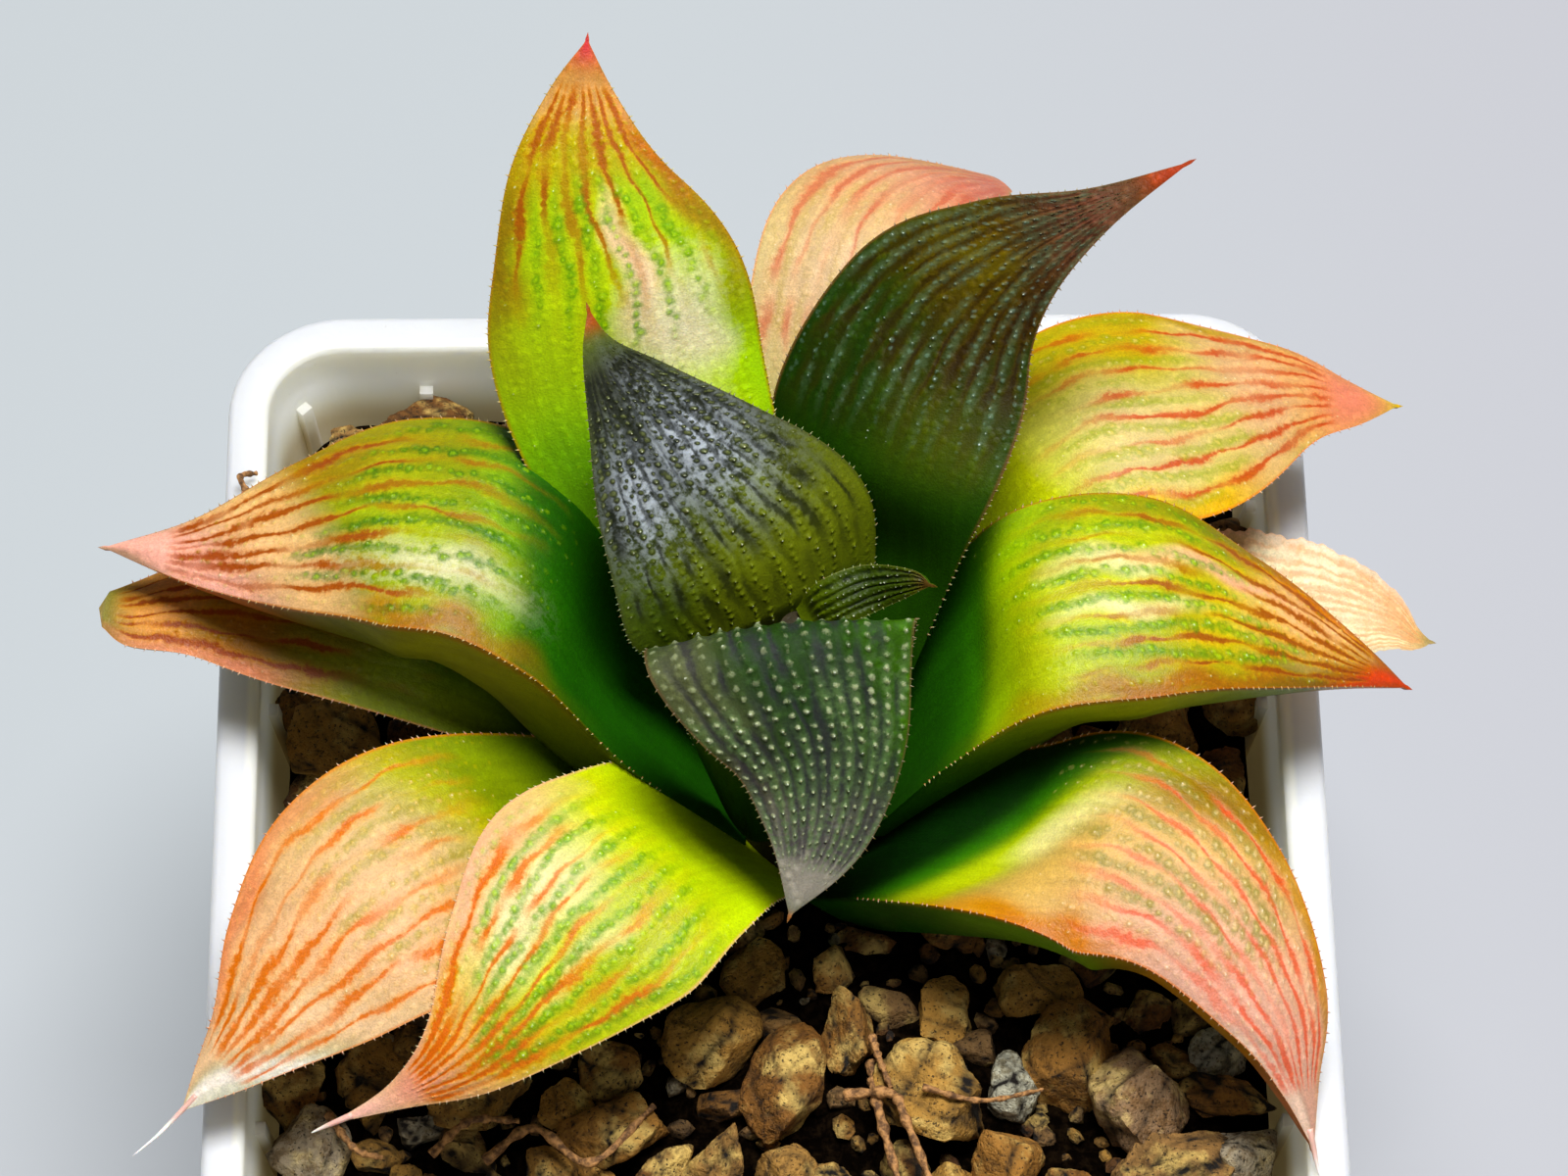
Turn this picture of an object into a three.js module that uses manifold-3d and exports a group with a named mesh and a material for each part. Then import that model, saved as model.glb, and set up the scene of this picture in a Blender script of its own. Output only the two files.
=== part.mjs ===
// A window-leaved haworthia in a square white plastic pot filled with gravel.
// Millimetres, +Z up. The origin is the middle of the pot's underside, -Y is the front.
import * as THREE from 'three';
import { mergeVertices } from 'three/addons/utils/BufferGeometryUtils.js';
import Module from 'manifold-3d';

const wasm = await Module();
wasm.setup();

// ---- driving dimensions ----

const rimZ = 72;              // height of the pot
const rimHalf = 40;           // half of the outer square at the rim
const rimWidth = 3;           // flat lip
const rimDrop = 3.2;          // height of the lip's outer band
const rimRadius = 8.5;        // outer corner radius at the rim
const bodyHalf = 38;          // outer half width just under the lip
const footHalf = 28;          // outer half width at the bottom
const wall = 1.2;
const floorThickness = 2;
const lipRound = 0.5;
const ribSpots = [-25.5, -8.5, 8.5, 25.5];
const ribWidth = 1;
const ribProud = 0.7;
const ribDrop = 4.5;          // the ribs start this far under the rim
const drainRadius = 3;
const drainSpot = 13;

const gap = 0.3;              // clearance between touching pieces
const gravelTop = rimZ - 7.5; // level of the bed that the top stones are sunk into
const stonePitch = 8.2;       // spacing of the stones laid by rule
const stoneJitter = 1.6;
const stoneFill = 0.56;       // half of the ball that a stone is worn from, per unit of its size
const bareRadius = 12;        // none lie this near the stem
const stoneDepth = 2.4;       // how much the heights of their middles vary
const stonePlanes = 7;        // flats that each stone is worn to

const axisX = 2.5;            // the plant's axis, a little right of the pot's middle
const leafRows = 18;          // sections along a large leaf
const faceSteps = 8;          // strips across the upper face
const underSteps = [-0.55, 0, 0.55];
const keelPower = 1.8;        // 1 is a sharp V underneath, 2 a round one
const slimPower = 0.75;       // how a leaf's depth follows its width
const baseHollow = 0.14;      // sag of the upper face near the base, as a share of the half width
const windowRise = 0.16;      // arch of the window face, likewise
const tubercle = 0.34;        // height of the bumps on the window faces
const tooth = 0.4;            // length of a tooth on the margin
const bluntTip = 0.35;        // half width where a leaf ends
const thinnest = 0.6;

// Each leaf: turn = the direction it grows in, in degrees from +X; thick = its greatest depth;
// keel = where across the underside it is deepest, from -1 at the right margin to 1 at the left;
// window = where along its length the clear, warty face begins; rows = sections from base to
// tip as [reach from the axis, height over the rim, offset to the left, half width, roll].
const leaves = {
  leaf_01_youngest: {
    turn: 18, thick: 1.7, keel: 0, window: 0.15, rows: [
      [0.5, 16.5, 3, 1.2, 0], [2.5, 19, 2.5, 1.8, 35], [5.5, 20, 2.3, 1.7, 40],
      [8, 21.5, 1, 0.9, 40], [9, 22, 0, 0, 40]],
  },
  leaf_02_front: {
    turn: -95, thick: 6, keel: -0.4, window: 0.42, rows: [
      [3, 2, -1, 5, 0], [2.2, 12, -2, 6.8, 0], [1.5, 20, -2, 9, 4], [3, 23, -1.5, 9.4, 4],
      [5.5, 21, 0, 8, -12], [8.5, 17.5, 1.5, 6, -12], [12.5, 13.5, 1.5, 3.6, -15],
      [17, 10.5, 0, 0, -10]],
  },
  leaf_03_back_left: {
    turn: 132, thick: 6, keel: 0, window: 0.2, rows: [
      [3, 5, -1, 4.8, -10], [6, 13, -2, 8.5, -14], [8.5, 19, -1.5, 9.9, -15],
      [13.5, 25.5, -0.2, 7, -13], [17.5, 30.5, 0.5, 3.8, -10], [20.5, 34, 0.8, 1.3, -10],
      [22.5, 36, 0, 0, -10]],
  },
  leaf_04_back_right: {
    turn: 45, thick: 6, keel: -0.2, window: 0.3, rows: [
      [3.5, 4, 1.5, 5, 7], [9.5, 13, 4, 6.7, 8], [14, 21, 6.5, 9.2, 3], [21.5, 27, 8.2, 8.1, 5],
      [26.5, 32, 6.5, 4.7, 7], [31.5, 36, 3.2, 1.7, 8], [37.5, 39, 0, 0, 8]],
  },
  leaf_05_right: {
    turn: 5.5, thick: 8.5, keel: -0.55, window: 0.36, rows: [
      [3.5, -1, 0.5, 5.5, 0], [9.5, 9.5, 1.5, 7, 0], [16, 16.5, 2.5, 8.3, 0], [25, 17, 2.5, 8.2, 0],
      [32.5, 13.5, 1.5, 5.5, 0], [39, 9, 0.5, 2.2, 10], [43.5, 5, 0, 0, 20]],
  },
  leaf_06_left: {
    turn: 166, thick: 9, keel: 0.55, window: 0.36, rows: [
      [3.5, -2, 0, 5.5, 5], [11.5, 8, 0, 7, 5], [17.5, 14.5, -2.5, 8.5, 5], [24, 18, -4, 9.4, 6],
      [31, 17.5, -3.8, 9.2, 5], [37.5, 16, -1.9, 6.4, 0], [44.5, 14, -0.2, 2.7, -10],
      [51.5, 12, 0, 0, -15]],
  },
  leaf_07_back: {
    turn: 113, thick: 6.5, keel: 0, window: 0.36, rows: [
      [3.5, 2, 1, 5, -10], [13.5, 12.5, 2.5, 7.5, -10], [22.5, 22, 3.5, 9.4, -15], [27, 29, 3, 9, -18],
      [32, 35, 3, 5.7, -16], [36, 39, 1.5, 2.4, -16], [38.5, 41.5, 0, 0, -16]],
  },
  leaf_08_front_right: {
    turn: -41.5, thick: 9, keel: -0.6, window: 0.42, rows: [
      [3.5, -5, 0, 5.5, 10], [10, 3.5, 0.5, 6.4, 10], [17.5, 9, 2.9, 7.2, 10], [24, 10, 6.1, 8.7, 6],
      [31.5, 9.5, 6.5, 6.7, 3], [39.5, 7, 4.3, 3.9, 5], [43.5, 4, 2, 1.5, 5], [46.5, 1.5, 0, 0, 5]],
  },
  leaf_09_front_left: {
    turn: -139, thick: 5.5, keel: 0.1, window: 0.36, rows: [
      [3.5, -5, 0, 5.5, -5], [10, 5.5, 1, 7.2, -2], [15.5, 10, 1.8, 8.4, -4], [22, 11, 2.2, 9.3, -9],
      [28.5, 9.5, 3, 6.9, -15], [35, 7, 3.5, 3.4, -22], [39.5, 4.5, 2, 1.1, -30],
      [44, 3, 0, 0, -30]],
  },
  leaf_10_right_back: {
    turn: 31, thick: 6, keel: -0.2, window: 0.4, rows: [
      [3.5, -3, 2, 5.2, 0], [16, 9, 6, 7, -8], [26, 15, 7, 9, -8], [34, 15, 4.5, 9, 3],
      [43, 12, 3, 4.6, 6], [47.5, 10, 1, 2, 8], [51, 8, 0, 0, 8]],
  },
  leaf_11_left_front: {
    turn: -147, thick: 6, keel: 0.2, window: 0.4, rows: [
      [3.5, -6, -1, 5, -5], [17, 4, -3.5, 7.4, -15], [27, 8.5, -4, 9.6, -16], [34, 9.5, -3.8, 9.3, -9],
      [40.5, 8, -2.3, 6.8, -8], [45.5, 6.5, -1, 3.7, -7], [49, 5, -0.5, 1.8, 0], [52, 4, 0, 0, 0]],
  },
  leaf_12_far_back: {
    turn: 71, thick: 5.5, keel: 0, window: 0.4, rows: [
      [3.5, -4, 1, 5, 0], [15, 8.5, 4, 6.5, 5], [27, 18, 6, 7.2, 3], [34, 20, 5.7, 7.6, 0],
      [40, 18, 3.5, 5.5, 5], [46, 12, 0, 1.2, 15]],
  },
  leaf_13_left_low: {
    turn: 169, thick: 5, keel: 0.3, window: 0.5, rows: [
      [3.5, -6, 0, 5, 0], [15.5, 2.5, -2, 6, -8], [28, 7.5, -2, 6.4, -10], [38, 8.5, -1.5, 5.4, -6],
      [44.5, 8.5, -1, 3.8, -8], [49, 8, 0, 2.7, 0], [51, 8, 0, 1.5, 0]],
  },
  leaf_14_withered: {
    turn: 12, thick: 1.6, keel: 0, window: 1, rows: [
      [3.5, -5, 0, 4, 0], [18, 2.5, 4.4, 5.6, 0], [30, 5, 4.3, 6.9, 0], [38.5, 5, 3, 5.6, 0],
      [43.5, 4, 1.5, 3, 2], [45.5, 3, 0, 1, 5], [46.7, 2, 0, 0, 5]],
  },
};

// Stones placed by hand where they show: [x, y, middle over the bed, length, width, turn].
const handStones = [
  [5.5, -17.7, 1.6, 6.8, 4.6, 85], [0.8, -21.8, 1.6, 9, 5.2, 70], [-5, -18.2, 0.6, 8, 6.2, 20],
  [-11.5, -25.4, 1.4, 7.8, 6.6, 30], [-8.3, -29, 1.8, 6.4, 3.4, 50], [-4.2, -28.7, 1.6, 6.8, 5, 80],
  [0.8, -29, 1.2, 5.2, 4.8, 0], [4.4, -31, 2, 6, 4.4, 15], [11.4, -23.3, 2.2, 8.8, 7.6, 145],
  [12.2, -30, 1.8, 4.6, 4, 20], [16.8, -21.8, 1, 5, 4.2, 110], [21, -20.2, 1.4, 8.2, 6.4, 100],
  [26, -23.7, 2.2, 9.6, 6.6, 55], [32.4, -22.7, 1.2, 7, 3.8, 160], [31.8, -19.4, 0.8, 4.2, 3.6, 60],
  [33.2, -27.4, 1.2, 6.2, 4.6, 170], [28.6, -29.1, 2, 8.6, 6.2, 12], [16.4, -28.3, 1.6, 6.6, 5.8, 80],
  [21, -30.5, 1, 5, 4, 0], [26.8, -15.5, 0.4, 3.6, 3.4, 0], [19, -13.5, 0.2, 6.4, 5, 10],
  [12.2, -15.6, 0, 5, 4.6, 60], [-12, -19.9, 0.4, 5, 4.4, 0], [-14.8, -23.1, 0.6, 4.4, 3.6, 90],
  [-33, -26.6, 1.4, 6.6, 5.2, 80], [-23, -31.2, 1.2, 6.8, 4.2, 5], [-31.8, 6.8, 1.4, 7.4, 6.6, 10],
  [-34.8, 9.8, 0.8, 4, 3.6, 40], [32.8, 3.1, 1.6, 5, 4.4, 60], [-25.2, 33.6, 1.8, 7.2, 5, 8],
  [-31, 31.4, 1.2, 5.6, 4.6, 150], [-19.6, 32, 1, 5, 4.6, 60],
];

// Dried roots that lie over the stones: corner points [x, y, height over the bed].
const dryRoots = [
  [[5, -25.5, 2.6], [8.5, -24.3, 4.3], [9.4, -28, 4.6], [11.5, -31.6, 3.6]],
  [[-20.5, -27.5, 1.5], [-17, -25.6, 2.8], [-13, -28.6, 3.4], [-8.5, -24.2, 3.4]],
];
const dryRootRadius = 0.45;

// ---- shared helpers ----

const radians = THREE.MathUtils.degToRad;

// A fixed sequence of random numbers from 0 to 1.
function makeRandom(seed) {
  let state = seed;
  return () => {
    state = (state * 16807) % 2147483647;
    return state / 2147483647;
  };
}

function meshGeometry(points, triangles) {
  const geometry = new THREE.BufferGeometry();
  geometry.setAttribute('position', new THREE.Float32BufferAttribute(points.flat(), 3));
  geometry.setIndex(triangles.flat());
  return geometry;
}

function toSolid(source) {
  let geometry = source.clone();
  geometry.deleteAttribute('normal');
  geometry.deleteAttribute('uv');
  geometry = mergeVertices(geometry, 1e-4);
  return new wasm.Manifold(new wasm.Mesh({
    numProp: 3,
    vertProperties: new Float32Array(geometry.attributes.position.array),
    triVerts: new Uint32Array(geometry.index.array),
  }));
}

function toGeometry(solid) {
  const mesh = solid.getMesh();
  const geometry = new THREE.BufferGeometry();
  geometry.setAttribute('position', new THREE.BufferAttribute(mesh.vertProperties, 3));
  geometry.setIndex(new THREE.BufferAttribute(mesh.triVerts, 1));
  return geometry;
}

// A cut can leave loose crumbs: only the largest body stays.
function largestBody(solid) {
  return solid.decompose().reduce((best, body) => (body.volume() > best.volume() ? body : best));
}

function boxesMeet(a, b) {
  const p = a.boundingBox();
  const q = b.boundingBox();
  return [0, 1, 2].every((i) => p.min[i] < q.max[i] && q.min[i] < p.max[i]);
}

function cutBy(solid, cutters) {
  return largestBody(cutters.filter((cutter) => boxesMeet(solid, cutter))
    .reduce((rest, cutter) => rest.subtract(cutter), solid));
}

// Rings of equal count joined into a closed skin. Each end closes on the middle point given.
function skin(rings, startPoint, endPoint) {
  const count = rings[0].length;
  const points = [...rings.flat(), startPoint, endPoint];
  const start = points.length - 2;
  const end = points.length - 1;
  const triangles = [];
  for (let i = 0; i < rings.length - 1; i += 1) {
    for (let j = 0; j < count; j += 1) {
      const a = i * count + j;
      const b = i * count + ((j + 1) % count);
      triangles.push([a, b, b + count], [a, b + count, a + count]);
    }
  }
  const lastRing = (rings.length - 1) * count;
  for (let j = 0; j < count; j += 1) {
    const next = (j + 1) % count;
    triangles.push([start, next, j], [end, lastRing + j, lastRing + next]);
  }
  return meshGeometry(points, triangles);
}

// A tapering round strand along a curve, each end closed on its middle point.
function strand(points, radiusAt, sides, steps) {
  const curve = new THREE.CatmullRomCurve3(points.map((p) => new THREE.Vector3(...p)));
  const frames = curve.computeFrenetFrames(steps, false);
  const rings = frames.normals.map((normal, i) => {
    const centre = curve.getPointAt(i / steps);
    const radius = radiusAt(i / steps);
    return Array.from({ length: sides }, (_, j) => {
      const turn = (2 * Math.PI * j) / sides;
      return centre.clone().addScaledVector(normal, radius * Math.cos(turn))
        .addScaledVector(frames.binormals[i], radius * Math.sin(turn)).toArray();
    });
  });
  return skin(rings, curve.getPointAt(0).toArray(), curve.getPointAt(1).toArray());
}

// ---- pot ----

// One level of the square wall: a square with round corners, counter-clockwise.
function squareRing(half, radius, z, cornerSteps = 4) {
  const ring = [];
  for (let corner = 0; corner < 4; corner += 1) {
    const signX = corner === 0 || corner === 3 ? 1 : -1;
    const signY = corner < 2 ? 1 : -1;
    for (let step = 0; step <= cornerSteps; step += 1) {
      const turn = (Math.PI / 2) * (corner + step / cornerSteps);
      ring.push([
        signX * (half - radius) + radius * Math.cos(turn),
        signY * (half - radius) + radius * Math.sin(turn), z]);
    }
  }
  return ring;
}

const innerHalfAt = (z) => footHalf - wall
  + (bodyHalf - footHalf) * Math.min(z / (rimZ - rimDrop), 1);
const innerRadiusAt = (z) => 4 + 1.8 * Math.min(z / (rimZ - rimDrop), 1);

function pot() {
  const under = rimZ - rimDrop;
  const innerTop = rimHalf - rimWidth;
  const shell = toSolid(skin([
    squareRing(footHalf, 5, 0),
    squareRing(bodyHalf, 7, under),
    squareRing(rimHalf, rimRadius, under),
    squareRing(rimHalf, rimRadius, rimZ - lipRound),
    squareRing(rimHalf - lipRound, rimRadius - lipRound, rimZ),
    squareRing(innerTop + lipRound, rimRadius - rimWidth + lipRound, rimZ),
    squareRing(innerTop, rimRadius - rimWidth, rimZ - lipRound),
    squareRing(innerHalfAt(under), innerRadiusAt(under), under),
    squareRing(innerHalfAt(floorThickness), innerRadiusAt(floorThickness), floorThickness),
  ], [0, 0, 0], [0, 0, floorThickness]));

  // Inside ribs: slim fins that follow the leaning wall, four a side and one in each corner.
  const cornerHalfAt = (z) => Math.SQRT2 * (innerHalfAt(z) - innerRadiusAt(z)) + innerRadiusAt(z);
  const rib = (turn, along, wallAt) => {
    const fin = skin([floorThickness - 0.5, rimZ - ribDrop].map((z) => [
      [along - ribWidth / 2, wallAt(z) - ribProud, z],
      [along + ribWidth / 2, wallAt(z) - ribProud, z],
      [along + ribWidth / 2, wallAt(z) + wall / 2, z],
      [along - ribWidth / 2, wallAt(z) + wall / 2, z],
    ]), [along, wallAt(floorThickness), floorThickness - 0.5],
    [along, wallAt(rimZ - ribDrop), rimZ - ribDrop]);
    fin.rotateZ(turn);
    return toSolid(fin);
  };
  let solid = shell;
  for (let side = 0; side < 4; side += 1) {
    for (const spot of ribSpots) solid = solid.add(rib((side * Math.PI) / 2, spot, innerHalfAt));
    solid = solid.add(rib(((side + 0.5) * Math.PI) / 2, 0, cornerHalfAt));
  }

  // Drain holes in the floor, round a solid middle.
  for (const x of [-drainSpot, drainSpot]) {
    for (const y of [-drainSpot, drainSpot]) {
      const hole = new THREE.CylinderGeometry(drainRadius, drainRadius, 3 * floorThickness, 12);
      hole.rotateX(Math.PI / 2);
      hole.translate(x, y, 0);
      solid = solid.subtract(toSolid(hole));
    }
  }
  return solid;
}

// ---- leaves ----

// Uniform Catmull-Rom through the rows, with the end rows mirrored.
function rowAt(rows, u) {
  const last = rows.length - 1;
  const x = THREE.MathUtils.clamp(u, 0, 1) * last;
  const i = Math.min(Math.floor(x), last - 1);
  const f = x - i;
  const mirrored = (end, inner) => end.map((value, k) => 2 * value - inner[k]);
  const before = i > 0 ? rows[i - 1] : mirrored(rows[0], rows[1]);
  const after = i + 2 <= last ? rows[i + 2] : mirrored(rows[last], rows[last - 1]);
  return rows[i].map((b, k) => {
    const [a, c, d] = [before[k], rows[i + 1][k], after[k]];
    return b + 0.5 * f * (c - a + f * (2 * a - 5 * b + 4 * c - d + f * (3 * (b - c) + d - a)));
  });
}

// Where the leaf's middle line runs, and the directions across it and out of its upper face.
function leafFrame(leaf, u) {
  const turn = radians(leaf.turn);
  const outward = new THREE.Vector3(Math.cos(turn), Math.sin(turn), 0);
  const side = new THREE.Vector3(-outward.y, outward.x, 0);
  const place = (row) => new THREE.Vector3(axisX, 0, rimZ + row[1])
    .addScaledVector(outward, row[0]).addScaledVector(side, row[2]);
  const step = 0.01;
  const row = rowAt(leaf.rows, u);
  const along = place(rowAt(leaf.rows, Math.min(u + step, 1)))
    .sub(place(rowAt(leaf.rows, Math.max(u - step, 0)))).normalize();
  const level = side.clone().addScaledVector(along, -side.dot(along)).normalize();
  const up = new THREE.Vector3().crossVectors(along, level);
  const roll = radians(row[4]);
  return {
    centre: place(row),
    along,
    across: level.clone().multiplyScalar(Math.cos(roll)).addScaledVector(up, Math.sin(roll)),
    out: up.multiplyScalar(Math.cos(roll)).addScaledVector(level, -Math.sin(roll)),
    half: Math.max(row[3], bluntTip),
  };
}

// Even steps of length along the leaf, as values of u.
function evenSteps(leaf, count) {
  const fine = 160;
  const lengths = [0];
  let previous = leafFrame(leaf, 0).centre;
  for (let i = 1; i <= fine; i += 1) {
    const { centre } = leafFrame(leaf, i / fine);
    lengths.push(lengths[i - 1] + centre.distanceTo(previous));
    previous = centre;
  }
  return Array.from({ length: count + 1 }, (_, k) => {
    const goal = (lengths[fine] * k) / count;
    const i = Math.min(lengths.findIndex((length) => length >= goal - 1e-9), fine);
    if (i === 0) return 0;
    return (i - 1 + (goal - lengths[i - 1]) / (lengths[i] - lengths[i - 1])) / fine;
  });
}

// A leaf as one closed skin. Its upper face is arched across, its underside is a deep keel, and
// rows of bumps stand on the window face. grow thickens it on all sides and leaves it smooth.
function leafSolid(leaf, rowCount, grow = 0) {
  const widest = Math.max(...leaf.rows.map((row) => row[3]));
  const reachBeside = 0.15; // the underside follows the mean slope this far to both sides
  const rings = [];
  const steps = evenSteps(leaf, rowCount);
  steps.forEach((u, i) => {
    const frame = leafFrame(leaf, u);
    const share = i / rowCount;
    const half = frame.half + (grow ? grow + tooth : 0);
    const under = leafFrame(leaf, u - reachBeside).out.add(frame.out)
      .add(leafFrame(leaf, u + reachBeside).out).normalize();
    const depth = Math.max(leaf.thick * (frame.half / widest) ** slimPower, thinnest) + grow;
    const onWindow = THREE.MathUtils.smoothstep(share, leaf.window - 0.08, leaf.window + 0.08);
    const arch = half * ((baseHollow + windowRise) * onWindow - baseHollow);
    const fade = onWindow * (1 - THREE.MathUtils.smoothstep(share, 0.86, 0.98));
    const point = (t, rise, direction) => frame.centre.clone()
      .addScaledVector(frame.across, half * t).addScaledVector(direction, rise).toArray();
    const ring = [];
    for (let j = 0; j <= faceSteps; j += 1) {
      const t = 1 - (2 * j) / faceSteps;
      const ridge = j % 2 === 1 ? 1 : 0;
      const bump = grow ? 1 : ridge * (i % 2 === 1 ? 1 : 0.3);
      const edge = Math.abs(t) === 1 ? 0 : grow;
      ring.push(point(t, arch * (1 - t * t) + edge + tubercle * bump * fade, frame.out));
    }
    for (const t of underSteps) {
      const across = leaf.keel + t * (t < 0 ? 1 + leaf.keel : 1 - leaf.keel);
      ring.push(point(across, -depth * (1 - Math.abs(t) ** keelPower), under));
    }
    rings.push(ring);
  });

  const last = leafFrame(leaf, 1);
  const tip = last.centre.clone().addScaledVector(last.along, 0.4 + grow).toArray();
  const first = leafFrame(leaf, 0).centre.clone()
    .addScaledVector(leafFrame(leaf, 0).out, -leaf.thick * 0.25).toArray();
  if (grow) return toSolid(skin(rings, first, tip));

  // Between two sections a tooth stands on each margin, shared by the upper face and underside.
  const points = [...rings.flat(), first, tip];
  const triangles = [];
  const ringSize = rings[0].length;
  for (let i = 0; i < rowCount; i += 1) {
    const frame = leafFrame(leaf, (steps[i] + steps[i + 1]) / 2);
    const reach = frame.half + tooth * Math.min(1, frame.half / 2);
    const [left, right] = [reach, -reach].map((across) => points.push(frame.centre.clone()
      .addScaledVector(frame.across, across).addScaledVector(frame.along, tooth / 2)
      .toArray()) - 1);
    for (let j = 0; j < ringSize; j += 1) {
      const next = (j + 1) % ringSize;
      const a = i * ringSize + j;
      const b = i * ringSize + next;
      const c = b + ringSize;
      const d = a + ringSize;
      if (j === 0 || j === faceSteps) {
        const t = j === 0 ? left : right;
        triangles.push([a, b, t], [t, b, c], [t, c, d]);
      } else if (next === 0 || next === faceSteps) {
        const t = next === 0 ? left : right;
        triangles.push([a, b, t], [a, t, d], [t, c, d]);
      } else if ((i + j) % 2 === 0) {
        triangles.push([a, b, c], [a, c, d]);
      } else {
        triangles.push([a, b, d], [b, c, d]);
      }
    }
  }
  const start = rings.length * ringSize;
  const lastRing = (rings.length - 1) * ringSize;
  for (let j = 0; j < ringSize; j += 1) {
    const next = (j + 1) % ringSize;
    triangles.push([start, next, j], [start + 1, lastRing + j, lastRing + next]);
  }
  return toSolid(meshGeometry(points, triangles));
}

// ---- stem and roots ----

const stemLine = [[axisX, 0, 44], [axisX, 0, 60], [axisX, 0.5, 70], [1.9, 2.2, 80], [1.9, 3, 88.3]];
const stemRadius = [2.5, 5.5, 5.5, 4.2, 1.3];
const rootCount = 5;
const rootReach = 18;
const rootRadius = 1.3;

function stem(grow = 0) {
  const radiusAt = (share) => rowAt(stemRadius.map((radius) => [radius]), share)[0] + grow;
  let solid = toSolid(strand(stemLine, radiusAt, 10, 12));
  for (let i = 0; i < rootCount; i += 1) {
    const turn = (2 * Math.PI * (i + 0.3)) / rootCount;
    const out = (reach, z, sway) => [
      axisX + reach * Math.cos(turn + sway), reach * Math.sin(turn + sway), z];
    const line = [out(2, 58, 0), out(8, 52, 0.2), out(rootReach * 0.8, 38, 0.4),
      out(rootReach, 22 - 3 * (i % 2), 0.3)];
    solid = solid.add(toSolid(strand(line, (share) => rootRadius * (1.2 - share) + grow, 5, 6)));
  }
  return solid;
}

// ---- gravel ----

// A worn angular stone: a ball pressed in by a few flat planes.
function stone(random, length, width, depth) {
  const shape = mergeVertices(new THREE.OctahedronGeometry(1, 1).deleteAttribute('normal')
    .deleteAttribute('uv'), 1e-4);
  const planes = Array.from({ length: stonePlanes }, () => {
    const turn = 2 * Math.PI * random();
    const lift = 2 * random() - 1;
    const flat = Math.sqrt(1 - lift * lift);
    return { n: new THREE.Vector3(flat * Math.cos(turn), flat * Math.sin(turn), lift),
      at: 0.72 + 0.22 * random() };
  });
  const place = shape.attributes.position;
  for (let i = 0; i < place.count; i += 1) {
    const p = new THREE.Vector3().fromBufferAttribute(place, i);
    for (const { n, at } of planes) p.addScaledVector(n, -Math.max(0, p.dot(n) - at));
    p.multiply(new THREE.Vector3(length, width, depth)).multiplyScalar(stoneFill);
    place.setXYZ(i, p.x, p.y, p.z);
  }
  return shape;
}

function gravel() {
  const random = makeRandom(2024);
  const low = floorThickness + gap;
  const clearHalf = (z) => innerHalfAt(z) - ribProud - gap;
  const inside = clearHalf(gravelTop);
  const prism = (top) => toSolid(skin([
    squareRing(clearHalf(low), innerRadiusAt(low) + 1, low, 2),
    squareRing(clearHalf(top), innerRadiusAt(top) + 1, top, 2),
  ], [0, 0, low], [0, 0, top]));
  let solid = prism(gravelTop);
  const lay = (x, y, rise, length, width, turn) => {
    const shape = stone(random, length, width, Math.min(width, length) * 0.9);
    shape.rotateZ(radians(turn));
    shape.translate(x, y, gravelTop + rise);
    solid = solid.add(toSolid(shape));
  };
  for (const spot of handStones) lay(...spot);

  // The rest lie on a jittered triangular grid, wherever none is placed by hand.
  const rowPitch = stonePitch * Math.sqrt(0.75);
  const rows = Math.ceil(inside / rowPitch);
  for (let row = -rows; row <= rows; row += 1) {
    for (let column = -rows; column <= rows; column += 1) {
      const shift = row % 2 === 0 ? 0 : 0.5;
      const x = (column + shift) * stonePitch + stoneJitter * (random() - 0.5);
      const y = row * rowPitch + stoneJitter * (random() - 0.5);
      const length = 6.5 + 3 * random();
      const width = length * (0.65 + 0.25 * random());
      const rise = stoneDepth * (random() - 0.35);
      const turn = 360 * random();
      const room = inside - length * 0.5;
      const fits = Math.abs(x) < room && Math.abs(y) < room
        && Math.abs(x) + Math.abs(y) < 2 * room - 5;
      const clear = handStones.every(([hx, hy, , hl]) =>
        Math.hypot(x - hx, y - hy) > 0.4 * (length + hl));
      if (fits && clear && Math.hypot(x - axisX, y) > bareRadius) {
        lay(x, y, rise, length, width, turn);
      }
    }
  }
  for (const points of dryRoots) {
    const line = points.map(([x, y, rise]) => [x, y, gravelTop + rise]);
    solid = solid.add(toSolid(strand(line, () => dryRootRadius, 5, 9)));
  }
  return solid.intersect(prism(rimZ - lipRound));
}

// ---- the whole plant ----

const leafColours = {
  leaf_01_youngest: 0x2f4a1c,
  leaf_02_front: 0x39463a,
  leaf_03_back_left: 0x33382a,
  leaf_04_back_right: 0x38401f,
  leaf_05_right: 0x9cb820,
  leaf_06_left: 0x8f9a2a,
  leaf_07_back: 0xb8c632,
  leaf_08_front_right: 0xe29a6a,
  leaf_09_front_left: 0xc9c83a,
  leaf_10_right_back: 0xe0b878,
  leaf_11_left_front: 0xe2a860,
  leaf_12_far_back: 0xe8a880,
  leaf_13_left_low: 0xa86a38,
  leaf_14_withered: 0xf0d0a0,
};

const plant = new THREE.Group();

function addPiece(name, solid, color, roughness) {
  const material = new THREE.MeshStandardMaterial({ color, roughness, metalness: 0 });
  const mesh = new THREE.Mesh(toGeometry(solid), material);
  mesh.name = name;
  plant.add(mesh);
}

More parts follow.
